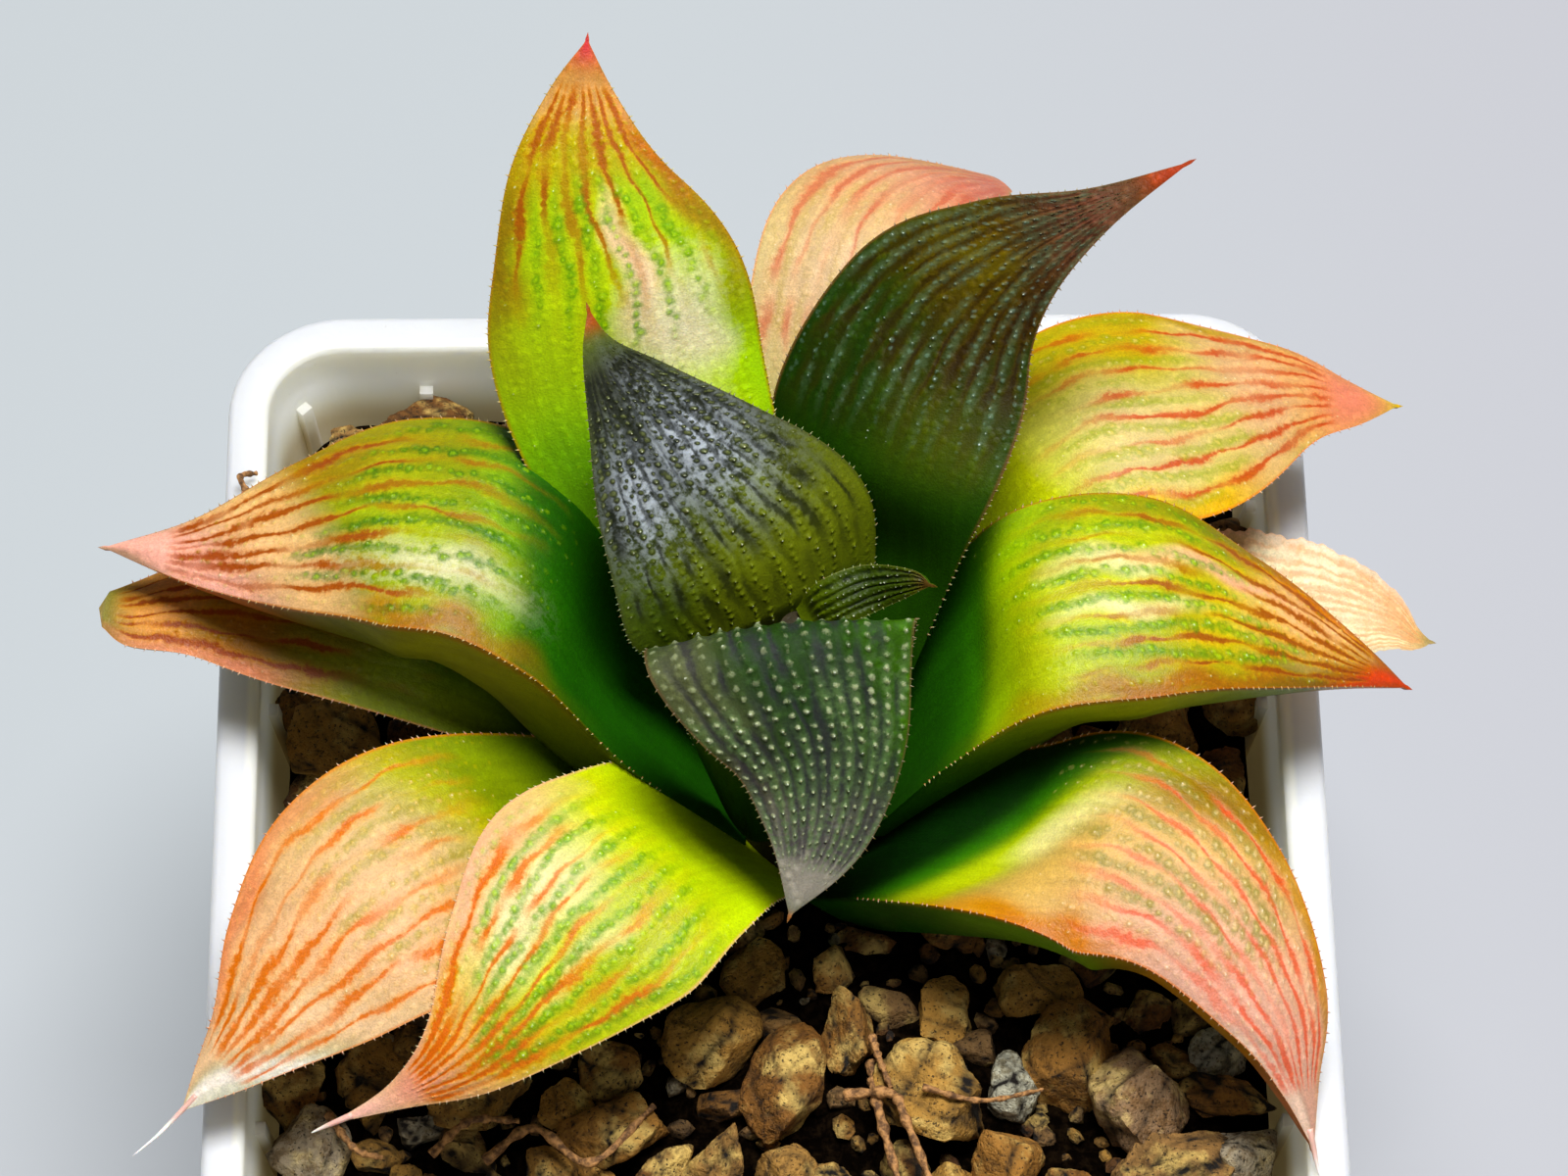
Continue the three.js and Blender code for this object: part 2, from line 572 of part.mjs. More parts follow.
// Inner leaves keep their shape. Each leaf further out is cut back where it meets them.
const taken = [stem(gap)];
const stemSolid = stem();
for (const [name, leaf] of Object.entries(leaves)) {
  const rowCount = leaf.thick > 2 ? leafRows : Math.round(leafRows * 0.6);
  const whole = leafSolid(leaf, rowCount);
  addPiece(name, cutBy(whole, taken), leafColours[name], 0.35);
  taken.push(whole.add(leafSolid(leaf, rowCount, gap)));
}
addPiece('stem', stemSolid, 0x7c8a4a, 0.7);
const potSolid = pot();
addPiece('pot', potSolid, 0xf4f6f6, 0.35);
addPiece('gravel', cutBy(gravel(), taken), 0x9a7648, 0.9);

export default plant;
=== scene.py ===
import math

import bpy
import numpy as np
from mathutils import Matrix, Vector


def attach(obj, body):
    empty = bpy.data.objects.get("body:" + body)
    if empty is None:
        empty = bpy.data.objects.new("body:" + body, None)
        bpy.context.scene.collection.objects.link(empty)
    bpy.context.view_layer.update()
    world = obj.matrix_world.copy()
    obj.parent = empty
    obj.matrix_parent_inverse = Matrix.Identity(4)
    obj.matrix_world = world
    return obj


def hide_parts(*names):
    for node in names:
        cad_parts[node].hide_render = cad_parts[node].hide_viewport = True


# A window-leaved haworthia in a square white pot of gravel. +Z is up and -Y is the front.
# Shapes are worked out in millimetres and put into the meshes in metres.

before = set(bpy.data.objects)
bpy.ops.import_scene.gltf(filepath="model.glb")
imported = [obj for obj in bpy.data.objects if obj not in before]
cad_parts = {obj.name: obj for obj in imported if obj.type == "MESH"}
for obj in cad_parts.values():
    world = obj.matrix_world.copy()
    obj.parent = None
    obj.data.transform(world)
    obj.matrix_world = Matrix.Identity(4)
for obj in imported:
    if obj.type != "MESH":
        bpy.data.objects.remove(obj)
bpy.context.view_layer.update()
metres = 0.001
print("frame loaded:", len(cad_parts), "nodes")


viewSpot = {
    "lookAt": (1.194, 15.894, 72.0),
    "distance": 464.7,
    "height": 59.0,      # degrees above the horizon
    "swing": -1.663,     # degrees round the pot
    "tilt": 1.014,       # degrees about the line of sight
    "lens": 145.49,
}


def newObject(name, data):
    made = bpy.data.objects.new(name, data)
    bpy.context.scene.collection.objects.link(made)
    return made


def placeCamera(spot):
    # eye = lookAt + distance * (sin swing cos height, -cos swing cos height, sin height)
    height, swing = math.radians(spot["height"]), math.radians(spot["swing"])
    back = Vector((math.sin(swing) * math.cos(height),
                   -math.cos(swing) * math.cos(height), math.sin(height)))
    right = Vector((0, 0, 1)).cross(back).normalized()
    right = Matrix.Rotation(math.radians(spot["tilt"]), 3, back) @ right
    camera = newObject("camera", bpy.data.cameras.new("camera"))
    camera.data.lens = spot["lens"]
    camera.data.sensor_width = 36
    camera.data.clip_start = 0.02
    axes = Matrix((right, back.cross(right), back)).transposed().to_4x4()
    axes.translation = (Vector(spot["lookAt"]) + back * spot["distance"]) * metres
    camera.matrix_world = axes
    bpy.context.scene.camera = camera


placeCamera(viewSpot)


def makePiece(name, points, faces, material, slot=None, attributes=None, sharp=None):
    # points (n, 3) in millimetres; faces is a list of index arrays (m, 3) or (m, 4); attributes
    # hold three values for each point; edges bent more than sharp degrees are shaded sharp
    mesh = bpy.data.meshes.new(name)
    mesh.vertices.add(len(points))
    mesh.vertices.foreach_set("co", (np.asarray(points) * metres).astype(np.float32).ravel())
    loops = np.concatenate([f.ravel() for f in faces])
    sizes = np.concatenate([np.full(len(f), f.shape[1]) for f in faces])
    mesh.loops.add(len(loops))
    mesh.loops.foreach_set("vertex_index", loops.astype(np.int32))
    mesh.polygons.add(len(sizes))
    starts = np.concatenate([[0], np.cumsum(sizes)[:-1]])
    mesh.polygons.foreach_set("loop_start", starts.astype(np.int32))
    mesh.update(calc_edges=True)
    mesh.shade_smooth()
    for key, values in (attributes or {}).items():
        layer = mesh.attributes.new(key, "FLOAT_VECTOR", "POINT")
        layer.data.foreach_set("vector", np.asarray(values).astype(np.float32).ravel())
    if sharp:
        mesh.set_sharp_from_angle(angle=math.radians(sharp))
    mesh.materials.append(material)
    piece = newObject(name, mesh)
    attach(piece, "root")
    return piece


def ringFaces(rows, count, capped=True):
    # rows * count points in rings, then the start and the end point: quads and two fans
    i, j = np.meshgrid(np.arange(rows - 1), np.arange(count), indexing="ij")
    a = (i * count + j).ravel()
    b = (i * count + (j + 1) % count).ravel()
    quads = np.stack([a, b, b + count, a + count], 1)
    if not capped:
        return [quads]
    k = np.arange(count)
    after, last = (k + 1) % count, (rows - 1) * count
    start = np.full(count, rows * count)
    caps = np.concatenate([np.stack([start, after, k], 1),
                           np.stack([start + 1, last + k, last + after], 1)])
    return [quads, caps]


def smooth(low, high, x):
    # 3 s^2 - 2 s^3 with s = (x - low) / (high - low), held between 0 and 1
    s = np.clip((x - low) / (high - low), 0, 1)
    return s * s * (3 - 2 * s)


def unit(v):
    return v / np.linalg.norm(v, axis=-1, keepdims=True)


def tint(code):
    # a colour as it looks on a screen, from its hex code
    values = [int(code[i:i + 2], 16) / 255 for i in (0, 2, 4)]
    return tuple(v / 12.92 if v <= 0.04045 else ((v + 0.055) / 1.055) ** 2.4
                 for v in values) + (1.0,)


def feed(tree, socket, value):
    if isinstance(value, bpy.types.NodeSocket):
        tree.links.new(value, socket)
    else:
        socket.default_value = value


def calc(tree, operation, a, b=0.0, c=0.0):
    node = tree.nodes.new("ShaderNodeMath")
    node.operation = operation
    for socket, value in zip(node.inputs, (a, b, c)):
        feed(tree, socket, value)
    return node.outputs[0]


def scaled(tree, value, by, plus=0.0):
    # value * by + plus
    return calc(tree, "MULTIPLY_ADD", value, by, plus)


def ease(tree, value, low, high):
    # 0 at low, 1 at high, smooth between and held beyond; low may be the larger
    node = tree.nodes.new("ShaderNodeMapRange")
    node.interpolation_type = "SMOOTHSTEP"
    for socket, v in zip(node.inputs, (value, low, high)):
        feed(tree, socket, v)
    return node.outputs[0]


def blend(tree, share, a, b, kind="MIX"):
    node = tree.nodes.new("ShaderNodeMix")
    node.data_type, node.blend_type = "RGBA", kind
    feed(tree, node.inputs[0], share)
    feed(tree, node.inputs[6], a)
    feed(tree, node.inputs[7], b)
    return node.outputs[2]


def layered(tree, colour, *layers):
    # each layer is a share and the colour that covers the ones before it by that share
    for share, over in layers:
        colour = blend(tree, share, colour, over)
    return colour


def spot(tree, vector, scale, detail=2.0, roughness=0.5):
    # noise between 0 and 1, with scale cells in a millimetre
    node = tree.nodes.new("ShaderNodeTexNoise")
    feed(tree, node.inputs["Vector"], vector)
    node.inputs["Scale"].default_value = scale
    node.inputs["Detail"].default_value = detail
    node.inputs["Roughness"].default_value = roughness
    return node.outputs["Fac"]


def pebbles(tree, vector, scale):
    # 1 at the middle of each scattered cell, falling to 0 at its border
    node = tree.nodes.new("ShaderNodeTexVoronoi")
    feed(tree, node.inputs["Vector"], vector)
    node.inputs["Scale"].default_value = scale
    return ease(tree, node.outputs["Distance"], 0.55, 0.05)


def place(tree, scale=(1, 1, 1)):
    # the piece's own millimetres, stretched by scale
    coordinate = tree.nodes.new("ShaderNodeTexCoord")
    mapping = tree.nodes.new("ShaderNodeMapping")
    mapping.vector_type = "POINT"
    tree.links.new(coordinate.outputs["Object"], mapping.inputs["Vector"])
    mapping.inputs["Scale"].default_value = [s / metres for s in scale]
    return mapping.outputs["Vector"]


def carried(tree, name):
    # what the mesh carries for each point under this name
    node = tree.nodes.new("ShaderNodeAttribute")
    node.attribute_name = name
    return node.outputs


def split(tree, vector):
    node = tree.nodes.new("ShaderNodeSeparateXYZ")
    feed(tree, node.inputs[0], vector)
    return node.outputs


def newGroup(name, inputs, outputs):
    group = bpy.data.node_groups.new(name, "ShaderNodeTree")
    for key, value in inputs.items():
        kind = "NodeSocketColor" if isinstance(value, tuple) else "NodeSocketFloat"
        socket = group.interface.new_socket(name=key, in_out="INPUT", socket_type=kind)
        socket.default_value = value
    for key, kind in outputs.items():
        group.interface.new_socket(name=key, in_out="OUTPUT", socket_type=kind)
    return (group, group.nodes.new("NodeGroupInput").outputs,
            group.nodes.new("NodeGroupOutput").inputs)


def newMaterial(name, **values):
    # a Principled surface; values are its sockets' own settings
    material = bpy.data.materials.new(name)
    material.use_nodes = True
    tree = material.node_tree
    surface = tree.nodes["Principled BSDF"]
    for key, value in values.items():
        surface.inputs[key.replace("_", " ")].default_value = value
    return material, tree, surface.inputs


def useGroup(tree, group, values):
    node = tree.nodes.new("ShaderNodeGroup")
    node.node_tree = group
    for key, value in values.items():
        feed(tree, node.inputs[key], value)
    return node.outputs


def addBump(tree, sockets, height, distance, strength=1.0):
    bump = tree.nodes.new("ShaderNodeBump")
    bump.inputs["Distance"].default_value = distance * metres
    bump.inputs["Strength"].default_value = strength
    feed(tree, bump.inputs["Height"], height)
    tree.links.new(bump.outputs[0], sockets["Normal"])


def mottledMaterial(name, colours, grain, edges, bump, stretch=(1, 1, 1), **values):
    # two colours mixed by noise between the edges, with bumps of the same noise
    material, tree, sockets = newMaterial(name, **values)
    shade = spot(tree, place(tree, stretch), *grain)
    share = ease(tree, shade, *edges) if edges else shade
    feed(tree, sockets["Base Color"], blend(tree, share, *(tint(code) for code in colours)))
    addBump(tree, sockets, shade, bump)
    return material


leafLook = {
    # the pale glints on the dots are painted highlights
    "vein": tint("93501c"), "ring": tint("3f6a2c"), "dot": tint("a8b848"), "paintedGlint": tint("eef4d8"),
    # the frosted colour is partly a whitish bloom and partly a painted sheen
    "frostAndSheen": tint("d8d4c0"), "margin": tint("a8641a"), "streak": tint("b07828"),
    "veinShare": 0.85, "ringShare": 0.7, "dotShare": 0.15, "paintedGlintShare": 0.35, "frostAndSheenShare": 0.0,
    "streakShare": 0.4, "mottle": 0.45, "gloss": 0.0, "cells": 0.35, "islandShare": 0.5,
}


def leafFinish():
    # The washes that the mesh carries are mottled, pebbled and streaked. Then come frost, partly a
    # painted sheen, veins, dark islands, rings, raised dots, painted glints and the margin, each as
    # a product of shares made from the distances and strengths that the mesh carries too.
    group, given, result = newGroup("leafFinish", leafLook, {
        "Color": "NodeSocketColor", "Height": "NodeSocketFloat", "Roughness": "NodeSocketFloat"})

    def three(name):
        return split(group, carried(group, name)["Vector"])

    def times(*values):
        product = values[0]
        for value in values[1:]:
            product = calc(group, "MULTIPLY", product, value)
        return product

    share, across, side = three("place")
    vein, dot, tone = three("pattern")
    veinPower, ringPower, frostAndSheenPower = three("marks")
    band, clump, _ = three("rows")
    own = place(group)
    face = calc(group, "SUBTRACT", 1.0, side)
    cloud = spot(group, own, 0.35, 4, 0.55)
    patchy = spot(group, own, 0.8, 3, 0.6)
    fine = spot(group, own, 1.9, 3, 0.6)
    grain = spot(group, own, 6.5, 2, 0.6)
    stripes = spot(group, carried(group, "streak")["Vector"], 1.0, 4, 0.62)
    cells = pebbles(group, own, 1.35)
    wobble = scaled(group, fine, 3.0, -1.5)
    softVein = calc(group, "ADD", vein, wobble)
    softBand = calc(group, "ADD", band, wobble)
    softDot = calc(group, "ADD", dot, scaled(group, fine, 2.4, -1.2))

    mottle = blend(group, cloud, (0.6, 0.62, 0.55, 1), (1.25, 1.22, 1.2, 1))
    colour = blend(group, given["mottle"], carried(group, "wash")["Color"], mottle, "MULTIPLY")
    onCells = times(given["cells"], face, ease(group, share, 0.3, 0.5))
    colour = blend(group, onCells, colour, scaled(group, cells, 0.5, 0.72), "MULTIPLY")
    halo = times(ease(group, softVein, 2.9, 0.6),
                 scaled(group, veinPower, 0.8, times(stripes, 0.3)),
                 ease(group, calc(group, "ADD", veinPower, ringPower), 0.0, 0.25))
    colour = blend(group, times(halo, given["streakShare"], face), colour, given["streak"])
    lines = scaled(group, stripes, scaled(group, side, 0.5, 0.6),
                   scaled(group, side, -0.25, 0.73))
    colour = blend(group, 1.0, colour, lines, "MULTIPLY")

    patches = ease(group, scaled(group, fine, 0.6, times(stripes, 0.5)), 0.44, 0.62)
    broken = scaled(group, ease(group, patchy, 0.4, 0.6), 0.65, 0.35)
    inRing = scaled(group, ringPower, 0.35, given["dotShare"])
    onFace = (
        # frosted bloom, partly a painted sheen, in patches away from the dots
        ("frostAndSheen", frostAndSheenPower, patches, ease(group, dot, 0.75, 1.25), given["frostAndSheenShare"]),
        ("vein", ease(group, softVein, 1.4, 0.3), veinPower, given["veinShare"]),
        ("ring", ease(group, softBand, 1.5, 0.1), ringPower, clump, given["islandShare"]),
        ("ring", ease(group, softDot, 2.2, 0.6), ringPower, broken, given["ringShare"]),
        ("dot", ease(group, softDot, 0.9, 0.15), inRing),
        # painted highlights: pale glints on the middle of some dots
        ("paintedGlint", ease(group, dot, 0.4, 0.2), ease(group, tone, 0.5, 0.85),
         given["paintedGlintShare"]),
    )
    for key, *shares in onFace:
        colour = blend(group, times(*shares, face), colour, given[key])
    margin = times(ease(group, calc(group, "ABSOLUTE", across), 0.965, 0.995),
                   ease(group, share, 0.2, 0.45), 0.65)
    colour = blend(group, margin, colour, given["margin"])
    colour = blend(group, 1.0, colour, scaled(group, grain, 0.7, 0.68), "MULTIPLY")

    vivid = group.nodes.new("ShaderNodeHueSaturation")
    vivid.inputs["Saturation"].default_value = 1.12
    feed(group, vivid.inputs["Color"], colour)
    feed(group, result["Color"], vivid.outputs[0])
    feed(group, result["Height"], calc(group, "ADD", scaled(group, stripes, 1.2, grain),
                                       times(onCells, cells, 1.6)))
    feed(group, result["Roughness"], scaled(group, fine, 0.25, calc(
        group, "ADD", given["gloss"], 0.3)))
    return group


leafGroup = leafFinish()


def leafMaterial(name, look):
    material, tree, sockets = newMaterial(
        "skin_" + name, Specular_IOR_Level=look.get("shine", 0.22),
        Subsurface_Weight=0.15, Subsurface_Scale=0.0012, Subsurface_Radius=(1.0, 0.7, 0.2))
    shown = {key: tint(value) if isinstance(value, str) else value
             for key, value in look.items() if key != "shine"}
    outputs = useGroup(tree, leafGroup, shown)
    feed(tree, sockets["Base Color"], outputs["Color"])
    feed(tree, sockets["Roughness"], outputs["Roughness"])
    addBump(tree, sockets, outputs["Height"], 0.07, 0.6)
    return material


# Rows are sections from base to tip: reach from the plant's axis, height over the rim, offset to
# the left, half width, roll. The same numbers shape the plain solids. A wash is a share of the
# length, a place across (1 left, -1 right), its length and width, colour and strength, and is
# laid over the ones before it; the first is the ground. Rings and frost, which is partly a
# painted sheen, are zones: a share, a place across, a length and a width. Window and dots are
# the shares where the clear window and its dots begin, size is a dot's radius, and slant tilts
# the washes across the leaf. An awn is the length of the dry hair at the tip. What a leaf
# doesn't say, it takes from usualLeaf.
plantAxis = np.array([2.5, 0.0, 72.0])
leafShape = {
    "sections": 320, "faceColumns": 150, "underColumns": 36, "calm": 260, "slopeReach": 0.15,
    "arch": 0.16, "hollow": 0.14, "keelPower": 1.8, "slimPower": 0.75, "leastHalf": 0.14,
    "leastDepth": 0.3, "tipLength": 0.5, "windowBlur": 0.08, "dotsEnd": (0.86, 0.96),
    "dotPitch": 2.8, "dotStray": 0.28, "veinWidth": 0.26, "veinSway": 0.12, "veinShiver": 0.06,
    "stripeAlong": 0.14, "stripeAcross": 1.3,
}
usualLeaf = dict(
    detail=1, thick=6, keel=0, window=0.36, slant=0, awn=0, ragged=0, jitter=1, veins=8,
    dots=0.42, size=0.28, dome=0.06, furrow=0.05, rings=[], frostAndSheen=[], teeth=True)
leaves = {
    "leaf_01_youngest": dict(
        turn=18, slot="leaf_dark", detail=0.5, thick=1.7, window=0.15, veins=5,
        veinZone=(0.1, 0.95), dots=0.15, size=0.16, furrow=0.14,
        rows=[[0.5, 16.5, 3, 1.2, 0], [2.5, 19, 2.5, 1.8, 35], [5.5, 20, 2.3, 1.7, 40],
              [8, 21.5, 1, 0.9, 40], [9, 22, 0, 0, 40]],
        face=["5a6a18", (0.6, 0, 0.4, 2, "22330f", 0.85), (1, 0, 0.12, 2, "5a3c24", 0.9)],
        below=["3a5a14", (0.5, 0, 0.4, 2, "14300c", 0.8)],
        look=dict(vein="101a08", dot="5a6a2a", paintedGlint="d8dcc0", margin="7a8048", ringShare=0,
                  paintedGlintShare=0.9, streakShare=0)),
    "leaf_02_front": dict(
        turn=-95, slot="leaf_dark", keel=-0.4, window=0.42, jitter=0.45, veins=12,
        veinZone=(0.36, 0.92), dots=0.36, size=0.35, dome=0.17, furrow=0.12,
        rings=[(0.76, 0.1, 0.14, 3)],
        rows=[[3, 2, -1, 5, 0], [2.2, 12, -2, 6.8, 0], [1.5, 20, -2, 9, 4], [3, 23, -1.5, 9.4, 4],
              [5.5, 21, 0, 8, -12], [8.5, 17.5, 1.5, 6, -12], [12.5, 13.5, 1.5, 3.6, -15],
              [17, 10.5, 0, 0, -10]],
        face=["2f4a14", (0.5, 0, 0.1, 2, "203c10", 0.9), (0.6, 0.1, 0.08, 0.9, "2c4420", 0.9),
              (0.66, 0.9, 0.2, 0.35, "3c6810", 0.9), (0.55, -0.8, 0.09, 0.34, "6c6c4c", 0.6),
              (0.76, 0.1, 0.08, 0.8, "48583c", 0.8), (0.76, -0.8, 0.12, 0.3, "544a3c", 0.7),
              (0.85, 0, 0.06, 2, "787668", 0.85), (0.94, 0, 0.06, 2, "a49c90", 0.9),
              (1.01, 0, 0.015, 2, "b8683a", 0.9)],
        below=["0e2a06", (0.6, 0, 0.4, 2, "16360a", 0.8), (0.9, 0, 0.1, 2, "4a4038", 0.8)],
        look=dict(vein="241e28", ring="5c7448", dot="b4bc94", paintedGlint="e4ecd8", margin="58402c",
                  ringShare=0.0, islandShare=0.6, dotShare=0.3, paintedGlintShare=0.5, veinShare=0.6,
                  streak="383440", streakShare=0.3, gloss=0.2, cells=0.8, shine=0.12)),
    "leaf_03_back_left": dict(
        turn=132, slot="leaf_dark", window=0.2, veins=12, veinZone=(0.3, 0.9), dots=0.2, size=0.24,
        dome=0.13, furrow=0.1, rings=[(0.7, 0, 0.13, 3)],
        frostAndSheen=[(0.67, -0.3, 0.15, 0.5), (0.64, 0.5, 0.12, 0.35)],
        rows=[[3, 5, -1, 4.8, -10], [6, 13, -2, 8.5, -14], [8.5, 19, -1.5, 9.9, -15],
              [13.5, 25.5, -0.2, 7, -13], [17.5, 30.5, 0.5, 3.8, -10], [20.5, 34, 0.8, 1.3, -10],
              [22.5, 36, 0, 0, -10]],
        face=["5c6c18", (0.38, -0.4, 0.18, 1.1, "6c7614", 0.92),
              (0.4, 0.85, 0.2, 0.35, "3c5010", 0.8), (0.58, -0.9, 0.2, 0.35, "545c14", 0.85),
              (0.68, 0, 0.14, 2, "2c302c", 0.92), (0.86, 0, 0.09, 2, "2c2c28", 0.85),
              (0.985, 0, 0.03, 2, "a04a24", 0.95)],
        below=["1c3808", (0.9, 0, 0.2, 2, "2a2210", 0.8)],
        # its near-black rings round the dots are partly dark marks and partly painted shade at the
        # dots' feet
        look=dict(vein="101408", ring="10180a", dot="7c8450", paintedGlint="e4e8c8", frostAndSheen="ccd4dc",
                  margin="38401c", ringShare=0.3, islandShare=0, dotShare=0.1, paintedGlintShare=0.6,
                  frostAndSheenShare=0.74, veinShare=0.75, mottle=0.6, streak="1c1c18", streakShare=0.4,
                  gloss=0.1, shine=0.3)),
    "leaf_04_back_right": dict(
        turn=45, slot="leaf_dark", keel=-0.2, window=0.3, veins=11, veinZone=(0.45, 0.87),
        size=0.23, dome=0.12, furrow=0.08, rings=[(0.6, 0, 1, 3)],
        rows=[[3.5, 4, 1.5, 5, 7], [9.5, 13, 4, 6.7, 8], [14, 21, 6.5, 9.2, 3],
              [21.5, 27, 8.2, 8.1, 5], [26.5, 32, 6.5, 4.7, 7], [31.5, 36, 3.2, 1.7, 8],
              [37.5, 39, 0, 0, 8]],
        face=["1a3c06", (0.35, 0, 0.12, 2, "1c4006", 0.9), (0.46, 0.7, 0.1, 0.5, "142a06", 0.9),
              (0.47, -0.5, 0.08, 0.5, "48540c", 0.85), (0.6, 0.6, 0.14, 0.6, "1e380a", 0.9),
              (0.6, -0.3, 0.14, 0.5, "30300c", 0.9), (0.55, -0.85, 0.1, 0.2, "2c3410", 0.7),
              (0.7, 0.3, 0.09, 0.8, "685a1c", 0.85), (0.72, -0.7, 0.1, 0.4, "3c2c10", 0.8),
              (0.85, 0, 0.09, 2, "70463a", 0.9), (0.98, 0, 0.05, 2, "b45444", 0.95)],
        below=["1c480a", (0.8, 0, 0.3, 2, "5a3c20", 0.7)],
        # its pale grey-green islands along the rows are painted highlights on the ridges
        look=dict(vein="180c06", ring="54684a", dot="7c9c88", paintedGlint="d4e0d4", margin="6a4a30",
                  ringShare=0, islandShare=0.35, gloss=0.05, dotShare=-0.1, paintedGlintShare=0.6,
                  veinShare=0.62, streak="582c14", streakShare=0.25, cells=0.8, mottle=0.7,
                  shine=0.1)),
    "leaf_05_right": dict(
        turn=5.5, slot="leaf_lime", thick=8.5, keel=-0.55, slant=0.06, veins=7,
        veinZone=(0.46, 0.93), dots=0.36, size=0.27, dome=0.08,
        rings=[(0.54, 0.2, 0.12, 0.7), (0.62, -0.4, 0.14, 0.3)], frostAndSheen=[(0.58, 0.15, 0.12, 0.35)],
        rows=[[3.5, -1, 0.5, 5.5, 0], [9.5, 9.5, 1.5, 7, 0], [16, 16.5, 2.5, 8.3, 0],
              [25, 17, 2.5, 8.2, 0], [32.5, 13.5, 1.5, 5.5, 0], [39, 9, 0.5, 2.2, 10],
              [43.5, 5, 0, 0, 20]],
        face=["1a4c06", (0.31, 0, 0.05, 2, "2a6c06", 0.9), (0.37, 0.1, 0.04, 2, "90bc00", 0.9),
              (0.5, 0, 0.12, 2, "b4c010", 0.95), (0.52, 0.25, 0.09, 0.16, "e8e0b4", 0.65),
              (0.56, -0.2, 0.1, 0.1, "ece4b8", 0.7), (0.7, 0, 0.1, 1.2, "d8c848", 0.8),
              (0.7, 0.35, 0.16, 0.1, "f4b49c", 0.85), (0.62, 0.92, 0.2, 0.18, "7c7404", 0.85),
              (0.8, 0.82, 0.12, 0.3, "b84c14", 0.9), (0.83, 0, 0.09, 0.7, "f4c078", 0.9),
              (0.77, 0.3, 0.08, 0.45, "f4c49c", 0.7), (0.66, -0.93, 0.24, 0.14, "a05c04", 0.9),
              (0.97, 0, 0.06, 2, "dc5844", 0.95)],
        below=["245c06", (0.55, -0.8, 0.25, 0.8, "a0ac08", 0.9), (0.95, 0, 0.1, 2, "c86038", 0.9)],
        look=dict(vein="8c3c0c", streak="d08420", ring="4c7c18", dot="b0cc48", margin="a8601c")),
    "leaf_06_left": dict(
        turn=166, slot="leaf_lime", thick=9, keel=0.55, slant=-0.06, veins=7, veinZone=(0.5, 0.92),
        size=0.27, dome=0.08, rings=[(0.56, -0.3, 0.09, 0.6), (0.6, 0.45, 0.12, 0.35)],
        frostAndSheen=[(0.57, 0.5, 0.12, 0.22)],
        rows=[[3.5, -2, 0, 5.5, 5], [11.5, 8, 0, 7, 5], [17.5, 14.5, -2.5, 8.5, 5],
              [24, 18, -4, 9.4, 6], [31, 17.5, -3.8, 9.2, 5], [37.5, 16, -1.9, 6.4, 0],
              [44.5, 14, -0.2, 2.7, -10], [51.5, 12, 0, 0, -15]],
        # the dark green ground at the base is partly its own green and partly painted shade under
        # the leaves above
        face=["184c06", (0.42, 0, 0.075, 2, "1c5806", 0.95), (0.5, 0, 0.03, 2, "6c9c10", 0.85),
              (0.61, 0, 0.1, 2, "9cac10", 0.95), (0.69, -0.75, 0.14, 0.45, "94701c", 0.8),
              (0.57, 0.45, 0.09, 0.16, "d8d0a4", 0.55), (0.6, 0.92, 0.16, 0.14, "9c600c", 0.9),
              (0.78, 0, 0.07, 2, "ecc08c", 0.9), (0.92, 0, 0.09, 2, "ffbcac", 0.95)],
        below=["0c2c04", (0.5, 0.8, 0.25, 0.6, "909010", 0.9), (0.9, 0, 0.12, 2, "d88058", 0.9)],
        look=dict(vein="8c3c1c", streak="b87434", ring="286018", dot="90b030", margin="a8642a",
                  frostAndSheenShare=0.38)),
    "leaf_07_back": dict(
        turn=113, slot="leaf_lime", thick=6.5, veins=7, veinZone=(0.66, 0.95), dots=0.4, size=0.26,
        furrow=0.04, rings=[(0.71, -0.05, 0.09, 0.6)], frostAndSheen=[(0.62, -0.4, 0.12, 0.5)],
        rows=[[3.5, 2, 1, 5, -10], [13.5, 12.5, 2.5, 7.5, -10], [22.5, 22, 3.5, 9.4, -15],
              [27, 29, 3, 9, -18], [32, 35, 3, 5.7, -16], [36, 39, 1.5, 2.4, -16],
              [38.5, 41.5, 0, 0, -16]],
        face=["70b000", (0.42, 0, 0.16, 2, "80bc00", 0.95), (0.68, 0.3, 0.2, 1.6, "c0d808", 0.85),
              # the darker 64a400 wash on the left is painted shade from leaves 03 and 06 above it
              (0.42, 0.6, 0.1, 0.6, "64a400", 0.8), (0.58, -0.45, 0.1, 0.42, "fff0c8", 0.9),
              (0.71, -0.18, 0.1, 0.14, "fcd0b0", 0.85), (0.48, -0.5, 0.07, 0.5, "d0e860", 0.8),
              (0.58, -0.98, 0.18, 0.2, "a8dc00", 0.9), (0.76, 0.95, 0.18, 0.22, "8c6408", 0.9),
              (0.74, -0.95, 0.14, 0.16, "9c6c0c", 0.85), (0.85, 0, 0.045, 2, "bc9c3c", 0.7),
              (0.85, -0.92, 0.1, 0.2, "ac5020", 0.8), (0.92, 0, 0.04, 2, "dca074", 0.85),
              (1, 0, 0.055, 2, "c84858", 0.95)],
        below=["6a9c08", (0.6, 0, 0.3, 2, "a0b818", 0.9), (0.97, 0, 0.1, 2, "c06040", 0.9)],
        look=dict(vein="9c4410", streak="d08c10", ring="508c20", dot="b8d84c", margin="a8781c",
                  frostAndSheen="f8f4e4", streakShare=0.3, frostAndSheenShare=0.2, islandShare=0.25)),
    "leaf_08_front_right": dict(
